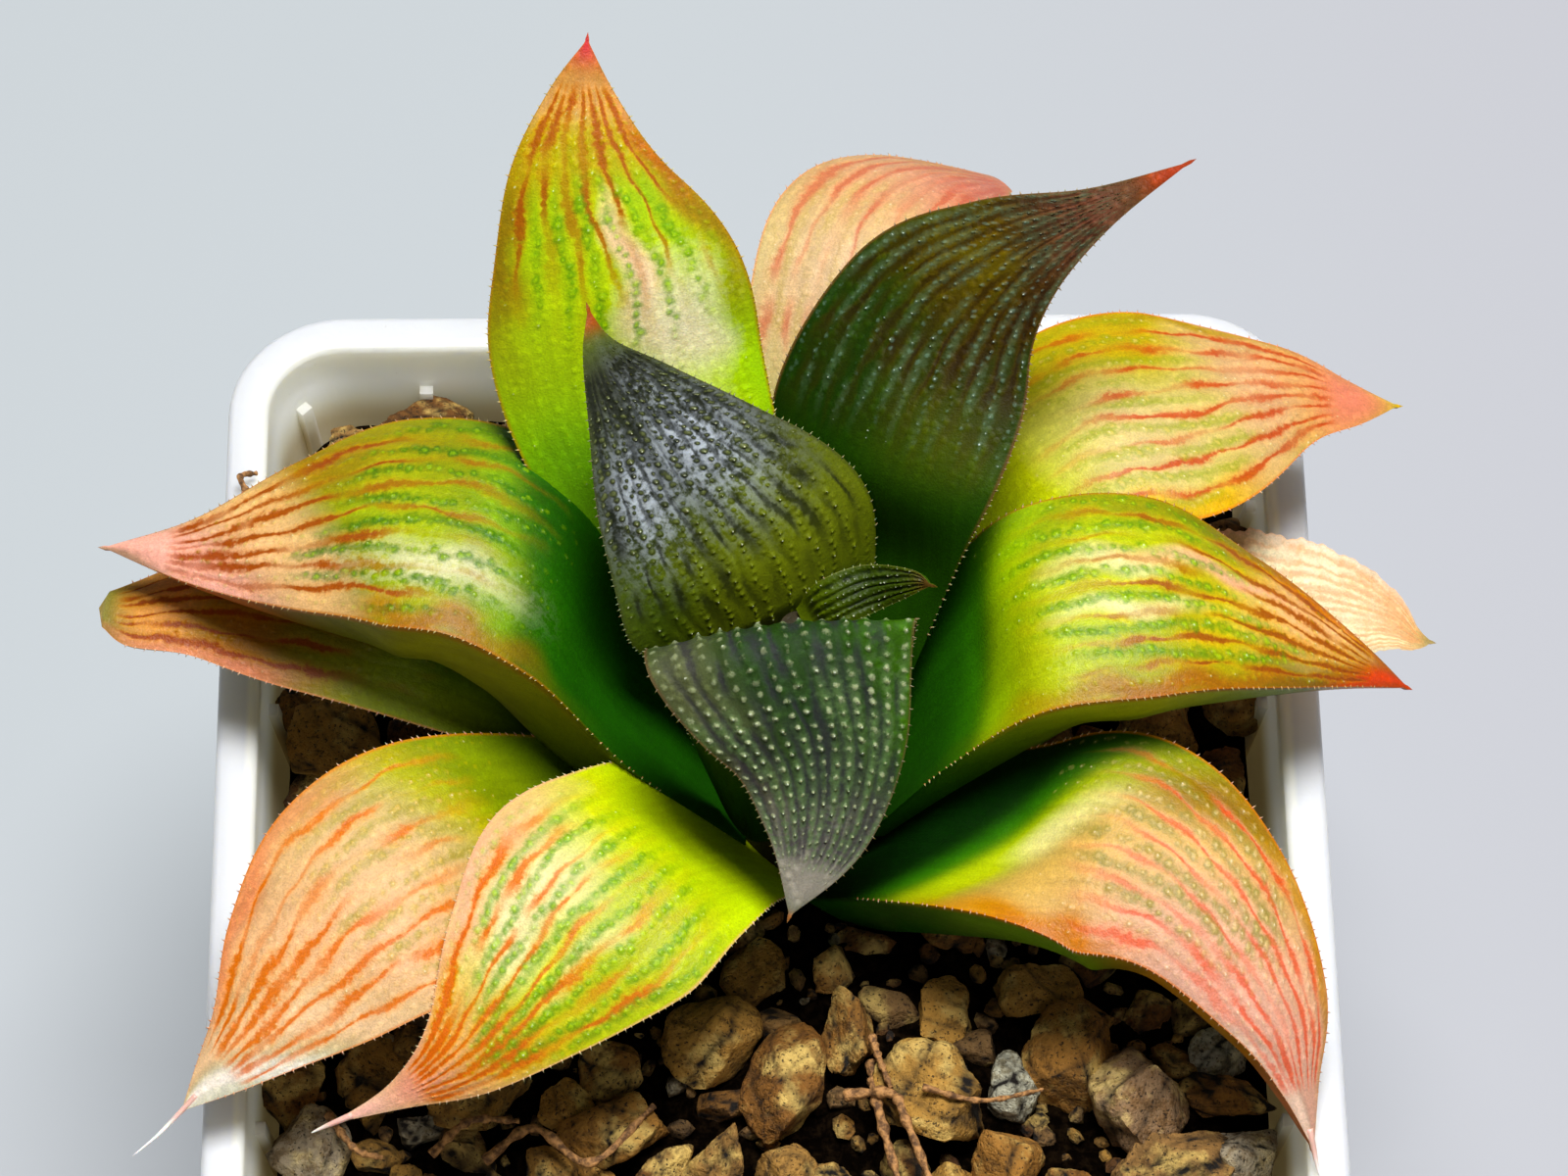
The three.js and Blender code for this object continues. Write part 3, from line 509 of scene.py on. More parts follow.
        turn=-41.5, slot="leaf_peach", thick=9, keel=-0.6, window=0.42, slant=0.15, awn=2.5,
        veinZone=(0.48, 0.93), size=0.29, dome=0.07, rings=[(0.6, 0.1, 0.12, 0.6)],
        rows=[[3.5, -5, 0, 5.5, 10], [10, 3.5, 0.5, 6.4, 10], [17.5, 9, 2.9, 7.2, 10],
              [24, 10, 6.1, 8.7, 6], [31.5, 9.5, 6.5, 6.7, 3], [39.5, 7, 4.3, 3.9, 5],
              [43.5, 4, 2, 1.5, 5], [46.5, 1.5, 0, 0, 5]],
        # the near-black green ground at the base is painted shadow, cast by leaf_05 above it
        face=["082404", (0.35, -0.3, 0.05, 1.3, "2c7006", 0.9), (0.52, 0, 0.1, 2, "ccac5c", 1),
              (0.4, -0.25, 0.04, 0.9, "b0c42c", 0.9), (0.42, 0.05, 0.035, 0.35, "ece4a0", 0.8),
              (0.41, 0.8, 0.03, 0.4, "8c9c10", 0.85), (0.62, 0, 0.15, 2, "d4ac74", 0.95),
              (0.47, 0.85, 0.06, 0.4, "84600c", 0.9), (0.74, 0, 0.12, 2, "dcac90", 0.9),
              (0.6, -0.93, 0.15, 0.16, "b8680c", 0.9), (0.64, 0.94, 0.14, 0.14, "b07828", 0.75),
              (0.88, 0, 0.1, 2, "dcac98", 0.9), (1, 0, 0.05, 2, "e4c4b0", 0.95)],
        below=["1c5406", (0.45, -0.8, 0.15, 0.8, "6c9808", 0.9),
               (0.75, -0.8, 0.15, 0.8, "c8841c", 0.9), (0.95, 0, 0.1, 2, "d88868", 0.9)],
        look=dict(vein="cc5440", ring="847c3c", dot="dcc088", paintedGlint="f4ead0", margin="c87030",
                  streak="e0947c", veinShare=0.7, ringShare=0.75)),
    "leaf_09_front_left": dict(
        turn=-139, slot="leaf_lime", thick=5.5, keel=0.1, awn=1.6, veinZone=(0.46, 0.88), dots=0.38,
        size=0.26, dome=0.07, rings=[(0.56, 0.15, 0.14, 0.8), (0.68, 0.3, 0.08, 0.5)],
        rows=[[3.5, -5, 0, 5.5, -5], [10, 5.5, 1, 7.2, -2], [15.5, 10, 1.8, 8.4, -4],
              [22, 11, 2.2, 9.3, -9], [28.5, 9.5, 3, 6.9, -15], [35, 7, 3.5, 3.4, -22],
              [39.5, 4.5, 2, 1.1, -30], [44, 3, 0, 0, -30]],
        face=["c4e004", (0.36, 0, 0.1, 2, "b8d404", 0.9), (0.5, 0.2, 0.12, 2, "acb808", 0.9),
              (0.6, -0.4, 0.13, 0.45, "ecdcb0", 0.9), (0.62, -0.92, 0.2, 0.25, "f0b49c", 0.9),
              (0.6, 0.3, 0.1, 0.12, "f4e0b8", 0.6), (0.66, 0.7, 0.12, 0.4, "b4b808", 0.8),
              (0.77, 0, 0.08, 2, "dca470", 0.85), (0.87, 0, 0.08, 2, "eca08c", 0.95),
              (0.96, 0, 0.06, 2, "f4bcb0", 0.95)],
        below=["5a8c0c", (0.6, 0.8, 0.3, 0.8, "a0b410", 0.9), (0.95, 0, 0.1, 2, "e08850", 0.9)],
        look=dict(vein="c8501c", veinShare=0.75, streak="d8901c", ring="588a20", dot="b8d450",
                  margin="e0a884")),
    "leaf_10_right_back": dict(
        turn=31, slot="leaf_peach", keel=-0.2, window=0.4, veinZone=(0.5, 0.9), dots=0.45,
        dome=0.05, rings=[(0.62, -0.4, 0.1, 0.4), (0.6, 0.5, 0.09, 0.35)],
        rows=[[3.5, -3, 2, 5.2, 0], [16, 9, 6, 7, -8], [26, 15, 7, 9, -8], [34, 15, 4.5, 9, 3],
              [43, 12, 3, 4.6, 6], [47.5, 10, 1, 2, 8], [51, 8, 0, 0, 8]],
        face=["b4c80c", (0.42, 0, 0.14, 2, "bccc20", 0.9), (0.52, -0.1, 0.08, 0.8, "c8c460", 0.8),
              (0.62, -0.3, 0.1, 0.8, "d0b488", 0.85), (0.62, 0.7, 0.14, 0.4, "c09c34", 0.8),
              (0.66, -0.95, 0.12, 0.2, "d8a820", 0.85), (0.78, 0, 0.09, 1.5, "dcaa90", 0.85),
              (0.7, 0.96, 0.2, 0.1, "a08020", 0.8), (0.92, 0, 0.09, 2, "e08878", 0.95),
              (1, 0, 0.003, 2, "d8a830", 0.95)],
        below=["90a420", (0.8, 0, 0.3, 2, "d08850", 0.9)],
        look=dict(streak="cc8458", vein="b4503c", ring="8c9430", dot="d8c070", margin="dc8050",
                  ringShare=0.6)),
    "leaf_11_left_front": dict(
        turn=-147, slot="leaf_peach", keel=0.2, window=0.4, slant=-0.1, awn=4.5,
        veinZone=(0.48, 0.93), rings=[(0.57, 0, 0.1, 0.7)],
        rows=[[3.5, -6, -1, 5, -5], [17, 4, -3.5, 7.4, -15], [27, 8.5, -4, 9.6, -16],
              [34, 9.5, -3.8, 9.3, -9], [40.5, 8, -2.3, 6.8, -8], [45.5, 6.5, -1, 3.7, -7],
              [49, 5, -0.5, 1.8, 0], [52, 4, 0, 0, 0]],
        face=["5c7c04", (0.38, 0, 0.12, 2, "7c8c04", 0.9), (0.46, 0, 0.045, 2, "a4a814", 0.85),
              (0.58, 0.1, 0.1, 2, "deb888", 0.9), (0.72, 0, 0.12, 2, "e8b890", 0.95),
              (0.68, -0.95, 0.2, 0.16, "e08c68", 0.8), (0.86, 0, 0.07, 2, "ecc4a0", 0.9),
              (0.97, 0, 0.05, 2, "f4e8dc", 0.95)],
        below=["5c7c10", (0.7, 0, 0.3, 2, "c08838", 0.9), (1, 0, 0.12, 2, "f0dcc8", 0.95)],
        look=dict(vein="c4581c", veinShare=0.7, ring="948838", dot="dcb870", margin="d07840",
                  streak="e0924c", ringShare=0.6)),
    "leaf_12_far_back": dict(
        turn=71, slot="leaf_peach", thick=5.5, window=0.4, veinZone=(0.46, 0.99), dots=0.45,
        size=0.24, dome=0.04, furrow=0.04, rings=[(0.62, 0.2, 0.12, 0.6)],
        rows=[[3.5, -4, 1, 5, 0], [15, 8.5, 4, 6.5, 5], [27, 18, 6, 7.2, 3], [34, 20, 5.7, 7.6, 0],
              [40, 18, 3.5, 5.5, 5], [46, 12, 0, 1.2, 15]],
        face=["9cc010", (0.38, 0, 0.16, 2, "ccd080", 0.9), (0.6, 0, 0.16, 2, "d8b498", 0.9),
              (0.8, 0, 0.12, 2, "d49c84", 0.9), (1, 0, 0.12, 2, "d08870", 0.95),
              (0.9, -0.5, 0.1, 0.7, "d07c74", 0.8)],
        below=["98a430", (0.7, 0, 0.3, 2, "cc9070", 0.9)],
        look=dict(vein="b85c4c", ring="b8a068", dot="d8b890", margin="d8946c", streak="cc8060",
                  ringShare=0.5, veinShare=0.55)),
    "leaf_13_left_low": dict(
        turn=169, slot="leaf_peach", thick=5, keel=0.3, window=0.5, veins=6, veinZone=(0.55, 0.99),
        dots=0.5,
        rows=[[3.5, -6, 0, 5, 0], [15.5, 2.5, -2, 6, -8], [28, 7.5, -2, 6.4, -10],
              [38, 8.5, -1.5, 5.4, -6], [44.5, 8.5, -1, 3.8, -8], [49, 8, 0, 2.7, 0],
              [51, 8, 0, 1.5, 0]],
        face=["286008", (0.5, 0, 0.14, 2, "3c6808", 0.9), (0.68, 0, 0.1, 2, "80640c", 0.9),
              (0.56, 0.8, 0.15, 0.5, "94a40c", 0.9), (0.8, 0, 0.06, 2, "a06418", 0.9),
              (0.92, 0, 0.07, 2, "dc9c64", 0.95), (0.85, 0.9, 0.15, 0.2, "d48c74", 0.85),
              (1.02, 0, 0.015, 2, "e8d49c", 0.9)],
        below=["346808", (0.8, 0, 0.25, 2, "8a7020", 0.9), (1, 0, 0.06, 2, "d8b070", 0.9)],
        look=dict(vein="84341c", dot="8c7038", paintedGlint="c8b890", margin="d8906c", ringShare=0,
                  paintedGlintShare=0.2)),
    "leaf_14_withered": dict(
        turn=12, slot="leaf_withered", teeth=False, thick=1.6, window=1, ragged=0.02, veins=12,
        veinZone=(0.2, 0.99), dots=0.3, size=0.2, dome=0.02,
        rows=[[3.5, -5, 0, 4, 0], [18, 2.5, 4.4, 5.6, 0], [30, 5, 4.3, 6.9, 0],
              [38.5, 5, 3, 5.6, 0], [43.5, 4, 1.5, 3, 2], [45.5, 3, 0, 1, 5], [46.7, 2, 0, 0, 5]],
        face=["d0a878", (0.6, 0, 0.3, 2, "e4d4a8", 0.9), (0.6, 0.98, 0.4, 0.2, "f0a088", 0.85),
              (0.75, -0.6, 0.3, 0.6, "ece4bc", 0.8), (0.8, 0, 0.12, 2, "e8e4c4", 0.85),
              (1, 0, 0.05, 2, "b8a068", 0.9)],
        below=["b08858", (0.6, 0, 0.3, 2, "e4bc84", 0.9)],
        look=dict(vein="d49068", dot="f8dcac", paintedGlint="f8e8c8", margin="e8b890", streak="e8a878",
                  veinShare=0.5, streakShare=0.3, mottle=0.8, ringShare=0, paintedGlintShare=0.2,
                  dotShare=0.2)),
}


def rowAt(rows, u):
    # uniform Catmull-Rom through the rows, with the end rows mirrored
    rows = np.array(rows, float)
    rows = np.concatenate([[2 * rows[0] - rows[1]], rows, [2 * rows[-1] - rows[-2]]])
    x = np.clip(u, 0, 1) * (len(rows) - 3)
    i = np.minimum(np.floor(x).astype(int), len(rows) - 4)
    f = (x - i)[:, None]
    a, b, c, d = rows[i], rows[i + 1], rows[i + 2], rows[i + 3]
    return b + 0.5 * f * (c - a + f * (2 * a - 5 * b + 4 * c - d + f * (3 * (b - c) + d - a)))


def leafFrames(leaf, u):
    # middle line = axis + outward * reach + left * offset + up * height; the section stands
    # across the line's own direction, rolled about it
    turn = math.radians(leaf["turn"])
    outward = np.array([math.cos(turn), math.sin(turn), 0])
    left, upright = np.array([-outward[1], outward[0], 0]), np.array([0, 0, 1.0])

    def line(v):
        row = rowAt(leaf["rows"], v)
        return plantAxis + row[:, :1] * outward + row[:, 2:3] * left + row[:, 1:2] * upright, row

    step = 0.01
    middle, row = line(u)
    along = unit(line(np.minimum(u + step, 1))[0] - line(np.maximum(u - step, 0))[0])
    level = unit(left - along * (along @ left)[:, None])
    up = np.cross(along, level)
    roll = np.radians(row[:, 4:5])
    across = level * np.cos(roll) + up * np.sin(roll)
    out = up * np.cos(roll) - level * np.sin(roll)
    return middle, along, across, out, row[:, 3]


def evenSteps(leaf, count):
    # values of u whose points lie at even lengths along the middle line
    fine = np.linspace(0, 1, 400)
    middle = leafFrames(leaf, fine)[0]
    length = np.concatenate([[0], np.cumsum(np.linalg.norm(np.diff(middle, axis=0), axis=1))])
    goal = np.linspace(0, length[-1], count + 1)
    return np.interp(goal, length, fine), goal


def wave(rng, low, high):
    # a slow swing along a leaf: sin(s / period + start)
    period, start = rng.uniform(low, high), rng.uniform(0, 6.3)
    return lambda s: np.sin(s / period + start)


def zoneAt(zones, share, t):
    # the largest of exp(-(gap along / length)^2 - (gap across / width)^2)
    best = np.zeros(np.broadcast(share, t).shape)
    for at, across, length, width in zones:
        best = np.maximum(best, np.exp(-((share - at) / length) ** 2 - ((t - across) / width) ** 2))
    return best


def washAt(washes, share, t):
    # each wash is mixed in by strength * exp(-|gap along / length|^p - |gap across / width|^p)
    p = 2.6
    shape = np.broadcast(share, t).shape
    colour = np.broadcast_to(np.array(tint(washes[0])[:3]), shape + (3,))
    for at, across, length, width, code, strength in washes[1:]:
        fall = np.exp(-np.abs((share - at) / length) ** p - np.abs((t - across) / width) ** p)
        colour = colour + (strength * fall)[..., None] * (np.array(tint(code)[:3]) - colour)
    return colour


def leafPattern(leaf, shape, rng, s, share, x, half):
    # For every point: the gap to the nearest vein in vein widths, the gap to the nearest dot in
    # dot radii, that dot's tone, the vein's strength, how far the dot is in a dark clump, and
    # the gap to its row's middle line. Veins run at even shares of the width and sway by slow
    # waves; dots stand at even steps in rows between them, each moved and sized by its jitter.
    spacing = 2 / (leaf["veins"] + 1)
    knots = np.linspace(0, s.max(), 26)
    vein, power = np.full(x.shape, 4.0), np.zeros(x.shape)
    for k in range(leaf["veins"]):
        middle = (-1 + spacing * (k + 1) + shape["veinSway"] * spacing * wave(rng, 1.8, 4)(s)
                  + shape["veinShiver"] * spacing * wave(rng, 0.5, 0.9)(s)) * half
        width = shape["veinWidth"] * rng.uniform(0.7, 1.5) * (0.9 + 0.4 * wave(rng, 0.8, 2)(s))
        gap = np.abs(x - middle) / (width * np.minimum(1, half / 4))
        strength = np.interp(s, knots, rng.uniform(-0.2, 1.6, len(knots)))
        strength = np.clip(strength + 0.5 * smooth(0.55, 0.95, share), 0, 1)
        power = np.where(gap < vein, strength, power)
        vein = np.minimum(vein, gap)

    rows = -1 + spacing * (np.arange(leaf["veins"] + 1) + 0.5)
    pitch, stray = shape["dotPitch"] * leaf["size"], shape["dotStray"]
    count = int(s.max() / pitch) + 2
    dot, tone = np.full(x.shape, 3.0), np.zeros(x.shape)
    clump, band = np.zeros(x.shape), np.full(x.shape, 3.0)
    cell = np.floor(s / pitch).astype(int)
    room, ends = half * spacing, np.arange(0, count + 4, 4)
    for row in rows:
        shift = rng.uniform(-stray, stray, (2, count)) * leaf["jitter"]
        size = 0.95 + rng.uniform(-0.35, 0.3, count) * leaf["jitter"]
        shown = rng.random(count)
        islands = np.interp(np.arange(count), ends, rng.random(len(ends)))
        swing = 0.1 * spacing * wave(rng, 2, 4)(s)
        band = np.minimum(band, np.abs(x - (row + swing) * half)
                          / np.minimum(1.5 * leaf["size"], 0.4 * room))
        for step in (-1, 0, 1):
            index = np.clip(cell + step, 0, count - 1)
            middle = (row + swing) * half + shift[1][index] * 0.5 * room
            radius = np.minimum(leaf["size"], 0.3 * room) * size[index]
            gap = np.hypot(s - (index + 0.5 + shift[0][index]) * pitch, x - middle) / radius
            tone = np.where(gap < dot, shown[index], tone)
            clump = np.where(gap < dot, islands[index], clump)
            dot = np.minimum(dot, gap)
    return vein, dot, tone, power, clump, band


def calm(directions, times):
    # each row's direction becomes the mean of itself and its two neighbours, again and again
    for _ in range(times):
        wide = np.concatenate([directions[:1], directions, directions[-1:]])
        directions = (wide[:-2] + 2 * directions + wide[2:]) / 4
    return unit(directions)


def makeLeaf(name, leaf, shape):
    # Upper face: middle + across * half * t + out * (arch (1 - t^2) + relief), t from 1 to -1.
    # Relief: the dots' domes less the veins' furrows, fading to the margins by 1 - |t|^10.
    # Underside: depth (1 - |v|^power) along the mean slope, deepest at the keel, where depth is
    # thick * (half / widest)^slimPower. The sections' directions are calmed, so that neighbours
    # don't cross in a bend. A ragged leaf's half width swings along it.
    number, detail = int(name[5:7]), leaf["detail"]
    rng = np.random.default_rng(number)
    u, s = evenSteps(leaf, int(shape["sections"] * detail))
    share = (s / s[-1])[:, None]
    middle, along, across, out, width = leafFrames(leaf, u)
    across, out = (calm(v, int(shape["calm"] * detail)) for v in (across, out))
    before, after = (leafFrames(leaf, np.clip(u + step, 0, 1))[3]
                     for step in (-shape["slopeReach"], shape["slopeReach"]))
    under = calm(before + out + after, int(shape["calm"] * detail))
    uneven = np.sin(1.7 * s) + np.sin(3.9 * s + 1) + 0.7 * np.sin(9.1 * s + 2)
    half = np.maximum(width * (1 + leaf["ragged"] * uneven * (s > 5)), shape["leastHalf"])[:, None]
    widest = max(row[3] for row in leaf["rows"])
    depth = np.maximum(leaf["thick"] * (half / widest) ** shape["slimPower"], shape["leastDepth"])
    blur = shape["windowBlur"]
    onWindow = smooth(leaf["window"] - blur, leaf["window"] + blur, share)
    arch = half * ((shape["hollow"] + shape["arch"]) * onWindow - shape["hollow"])
    dotted = (smooth(leaf["dots"] - 0.05, leaf["dots"] + 0.08, share)
              * (1 - smooth(*shape["dotsEnd"], share)))
    low, high = leaf["veinZone"]
    veined = smooth(low - 0.06, low + 0.12, share) * (1 - smooth(high - 0.03, high, share))

    t = np.linspace(1, -1, int(shape["faceColumns"] * detail) + 1)[None, :]
    x = t * half
    plain = (middle[:, None] + across[:, None] * x[..., None]
             + out[:, None] * (arch * (1 - t ** 2))[..., None])
    surface = np.cumsum(np.linalg.norm(np.diff(plain, axis=0, prepend=plain[:1]), axis=2), axis=0)
    vein, dot, tone, power, clump, band = leafPattern(leaf, shape, rng, surface, share, x,
                                                      half)
    dome = (1 - np.clip(dot, 0, 1) ** 2) ** 2 + 0.5 * np.exp(-(dot / 0.33) ** 2)
    relief = ((leaf["dome"] * dome * (0.5 + tone) * dotted
               - leaf["furrow"] * np.exp(-(0.6 * vein) ** 2) * veined) * (1 - np.abs(t) ** 10))
    top = plain + out[:, None] * relief[..., None]

    v = np.linspace(-1, 1, shape["underColumns"] + 2)[None, 1:-1]
    keel = leaf["keel"]
    spread = keel + v * np.where(v < 0, 1 + keel, 1 - keel)
    drop = depth * (1 - np.abs(v) ** shape["keelPower"])
    bottom = (middle[:, None] + across[:, None] * (half * spread)[..., None]
              - under[:, None] * drop[..., None])
    rings = np.concatenate([top, bottom], 1)
    start = middle[0] - out[0] * leaf["thick"] * 0.25
    end = middle[-1] + along[-1] * shape["tipLength"]
    points = np.concatenate([rings.reshape(-1, 3), [start, end]])

    def carry(upper, lower, ends):
        # three values for every point: the upper face's, the underside's and the two ends'
        upper = [np.broadcast_to(part, x.shape) for part in upper]
        lower = [np.broadcast_to(part, bottom.shape[:2]) for part in lower]
        both = np.concatenate([np.stack(upper, -1), np.stack(lower, -1)], 1)
        return np.concatenate([both.reshape(-1, 3), ends])

    ringed = smooth(0.05, 0.35, zoneAt(leaf["rings"], share, t))
    slanted = np.minimum(share - leaf["slant"] * t, 1)
    face = washAt(leaf["face"], slanted, t + 0.06 * np.sin(s[:, None] * 0.9))
    below = washAt(leaf["below"], share, spread)
    dots = np.where(dotted > 0.15, dot, 3)
    stripe, wide = s[:, None] * shape["stripeAlong"], shape["stripeAcross"]
    attributes = {
        "place": carry((share, t, 0), (share, spread, 1), [[0, 0, 1], [1, 0, 0]]),
        "pattern": carry((vein, dots, tone), (3, 3, 0), [[3, 3, 0], [3, 3, 0]]),
        "marks": carry((power * veined, ringed * dotted, zoneAt(leaf["frostAndSheen"], share, t)),
                       (0, 0, 0), [[0, 0, 0], [0, 0, 0]]),
        "rows": carry((band, smooth(0.2, 0.6, clump), 0), (3, 0, 0), [[3, 0, 0], [3, 0, 0]]),
        "streak": carry((stripe, x * wide, number),
                        (stripe, spread * half * wide, number + 9), [[0, 0, 0], [0, 0, 0]]),
        "wash": carry(np.moveaxis(face, -1, 0), np.moveaxis(below, -1, 0),
                      [below[0, 0], face[-1, 0]]),
    }
    piece = makePiece(name + "_skin", points, ringFaces(*rings.shape[:2]),
                      leafMaterial(name, leaf["look"]), leaf["slot"], attributes, 48)
    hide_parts(name)
    return middle, along, across, out, half[:, 0], s


teethLook = {
    "pitch": 0.62, "length": 0.3, "radius": 0.09, "sides": 5, "zone": (0.16, 0.97),
    "stray": 0.15, "sizes": (0.55, 1.15), "forward": (0.2, 0.7), "upward": (-0.1, 0.35),
    "rootDepth": 0.12, "fullWidth": 2.5,
    "tips": {"leaf_dark": "a8ac78", "leaf_lime": "dce0a0", "leaf_peach": "f0d8b8"},
    "awnRoot": "eab8a8", "awnEnd": "f4efe6", "awnRadius": 0.22,
}


def toothMaterial():
    material, tree, sockets = newMaterial("tooth_horn", Roughness=0.4, Subsurface_Weight=0.3,
                                          Subsurface_Scale=0.0004)
    shade = scaled(tree, spot(tree, place(tree), 0.8, 2), 0.5, 0.75)
    feed(tree, sockets["Base Color"],
         blend(tree, 1.0, carried(tree, "tooth")["Color"], shade, "MULTIPLY"))
    return material


toothHorn = toothMaterial()


def awnAt(tip, ahead, out, length, look):
    # a dry hair that goes on from the tip and lifts by 0.12 of its length, and how far each
    # point's colour has gone from the root's to the end's
    path = [tip - ahead * 1.5, tip, tip + ahead * length * 0.5,
            tip + ahead * length + out * 0.12 * length]
    hair = strand(path, lambda u: look["awnRadius"] * (1 - u) ** 0.7 + 0.03, 8, 20)
    far = np.clip((hair[0] - tip) @ ahead / 1.5, 0, 1)[:, None]
    root, end = (np.array(tint(look[key])[:3]) for key in ("awnRoot", "awnEnd"))
    return hair, root + far * (end - root)


def makeTeeth(name, leaf, lines, look):
    # Small cones on both margins, one for every pitch of length: a ring round the margin's own
    # point, a tip at root + lean * length, and a point as far in as rootDepth.
    middle, along, across, out, half, s = lines
    rng = np.random.default_rng(100 + int(name[5:7]))
    marks = np.arange(look["zone"][0] * s[-1], look["zone"][1] * s[-1], look["pitch"])
    sides = np.repeat([1.0, -1.0], len(marks))
    marks = np.tile(marks, 2) + rng.uniform(-look["stray"], look["stray"], len(sides))

    def at(values):
        return np.stack([np.interp(marks, s, values[:, k]) for k in range(3)], 1)

    def draw(key):
        return rng.uniform(*look[key], len(sides))[:, None]

    width = np.interp(marks, s, half)[:, None]
    outwards = unit(at(across)) * sides[:, None]
    forward, up = unit(at(along)), unit(at(out))
    size = draw("sizes") * np.minimum(1, width / look["fullWidth"])
    root = at(middle) + outwards * (width - 0.05)
    lean = unit(outwards + forward * draw("forward") + up * draw("upward"))
    turn = 2 * math.pi * np.arange(look["sides"]) / look["sides"]
    radius = look["radius"] * np.sqrt(size)
    ring = (root[:, None] + radius[:, None] * (forward[:, None] * np.cos(turn)[None, :, None]
            + np.cross(lean, forward)[:, None] * np.sin(turn)[None, :, None]))
    tip = root + lean * look["length"] * size
    base = root - lean * look["rootDepth"]
    points = np.concatenate([ring, tip[:, None], base[:, None]], 1)
    n = look["sides"]
    k = np.arange(n)
    faces = np.concatenate([np.stack([k, (k + 1) % n, np.full(n, n)], 1),
                            np.stack([(k + 1) % n, k, np.full(n, n + 1)], 1)])
    cones = (faces[None] + (np.arange(len(sides)) * (n + 2))[:, None, None]).reshape(-1, 3)
    parts = [(points.reshape(-1, 3), [cones])]
    colours = np.array([tint(leaf["look"]["margin"])[:3]] * n
                       + [tint(look["tips"][leaf["slot"]])[:3]] * 2)
    colours = np.tile(colours, (len(sides), 1))
    if leaf["awn"]:
        hair, shades = awnAt(middle[-1], along[-1], out[-1], leaf["awn"], look)
        parts.append(hair)
        colours = np.concatenate([colours, shades])
    makePiece(name + "_teeth", *joined(parts), toothHorn, leaf["slot"], {"tooth": colours})


def strand(points, radiusAt, sides, steps):
    # a round tube along a Catmull-Rom curve, closed on its end points; radiusAt gives the radius
    # at a share of the length
    u = np.linspace(0, 1, steps + 1)
    middle = rowAt(points, u)
    along = unit(np.gradient(middle, axis=0))
    aside = unit(np.cross(along, np.array([0.31, 0.17, 0.94])))
    up = np.cross(along, aside)
    turn = 2 * math.pi * np.arange(sides) / sides
    radius = radiusAt(u)[:, None, None]
    rings = middle[:, None] + radius * (aside[:, None] * np.cos(turn)[None, :, None]
                                        + up[:, None] * np.sin(turn)[None, :, None])
    return np.concatenate([rings.reshape(-1, 3), middle[:1], middle[-1:]]), ringFaces(
        steps + 1, sides)


def joined(parts):
    # several closed shells as one set of points and faces
    points, faces, count = [], [], 0
    for part, partFaces in parts:
        points.append(part)
        faces += [f + count for f in partFaces]
        count += len(part)
    return np.concatenate(points), faces


for leafName, leafOwn in leaves.items():
    leafWhole = {**usualLeaf, **leafOwn}
    leafLines = makeLeaf(leafName, leafWhole, leafShape)
    if leafWhole["teeth"]:
        makeTeeth(leafName, leafWhole, leafLines, teethLook)
print("leaves made:", len(leaves))


stemLook = {
    "line": [[2.5, 0, 44], [2.5, 0, 60], [2.5, 0.5, 70], [1.9, 2.2, 80], [1.9, 3, 88.3]],
    "radius": [2.5, 5.5, 5.5, 4.2, 1.3],
    "roots": 5, "rootReach": 18, "rootRadius": 1.3, "colours": ("140c04", "3c3210"),
}


def makeStem(look):
    # a thick strand up the middle, and roots as thinner strands that turn down from its foot
    material = mottledMaterial("stem_flesh", look["colours"], (0.9, 4, 0.6), None, 0.3,
                               (1, 1, 0.4), Roughness=0.7)
    radii = np.array(look["radius"], float)[:, None]
    parts = [strand(look["line"], lambda u: rowAt(radii, u)[:, 0], 28, 60)]
    for i in range(look["roots"]):
        turn = 2 * math.pi * (i + 0.3) / look["roots"]
        # reach from the middle, height, and turn off the root's own way
        corners = [(2, 58, 0), (8, 52, 0.2), (look["rootReach"] * 0.8, 38, 0.4),
                   (look["rootReach"], 22 - 3 * (i % 2), 0.3)]
        line = [[plantAxis[0] + r * math.cos(turn + sway), r * math.sin(turn + sway), z]
                for r, z, sway in corners]
        parts.append(strand(line, lambda u: look["rootRadius"] * (1.2 - u), 12, 24))
    piece = makePiece("stem_fine", *joined(parts), material, "stem_tissue")
    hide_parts("stem")


makeStem(stemLook)


potLook = {
    "top": 72, "rimHalf": 40, "rimWidth": 3, "rimDrop": 3.2, "rimRadius": 8.5, "bodyHalf": 38,
    "footHalf": 28, "wall": 1.2, "floor": 2, "round": 0.5, "innerRadius": (4, 5.8),
    "ribs": (-25.5, -8.5, 8.5, 25.5), "ribWidth": 1, "ribProud": 0.7, "ribDrop": 4.5,
    "ribBite": 0.6, "holeRadius": 3, "holeSpot": 13, "colours": ("d8dadb", "e0e1e2"),
    "insideLowHigh": ("a08a58", "fffce6"), "insideFade": (64.0, 68.5), "dust": "a89c84",
}


def potInside(look, z):
    # the inner walls' half width and corner radius, which grow evenly from foot to rim
    share = min(z / (look["top"] - look["rimDrop"]), 1)
    low, high = look["innerRadius"]
    return (look["footHalf"] - look["wall"] + (look["bodyHalf"] - look["footHalf"]) * share,
            low + (high - low) * share)


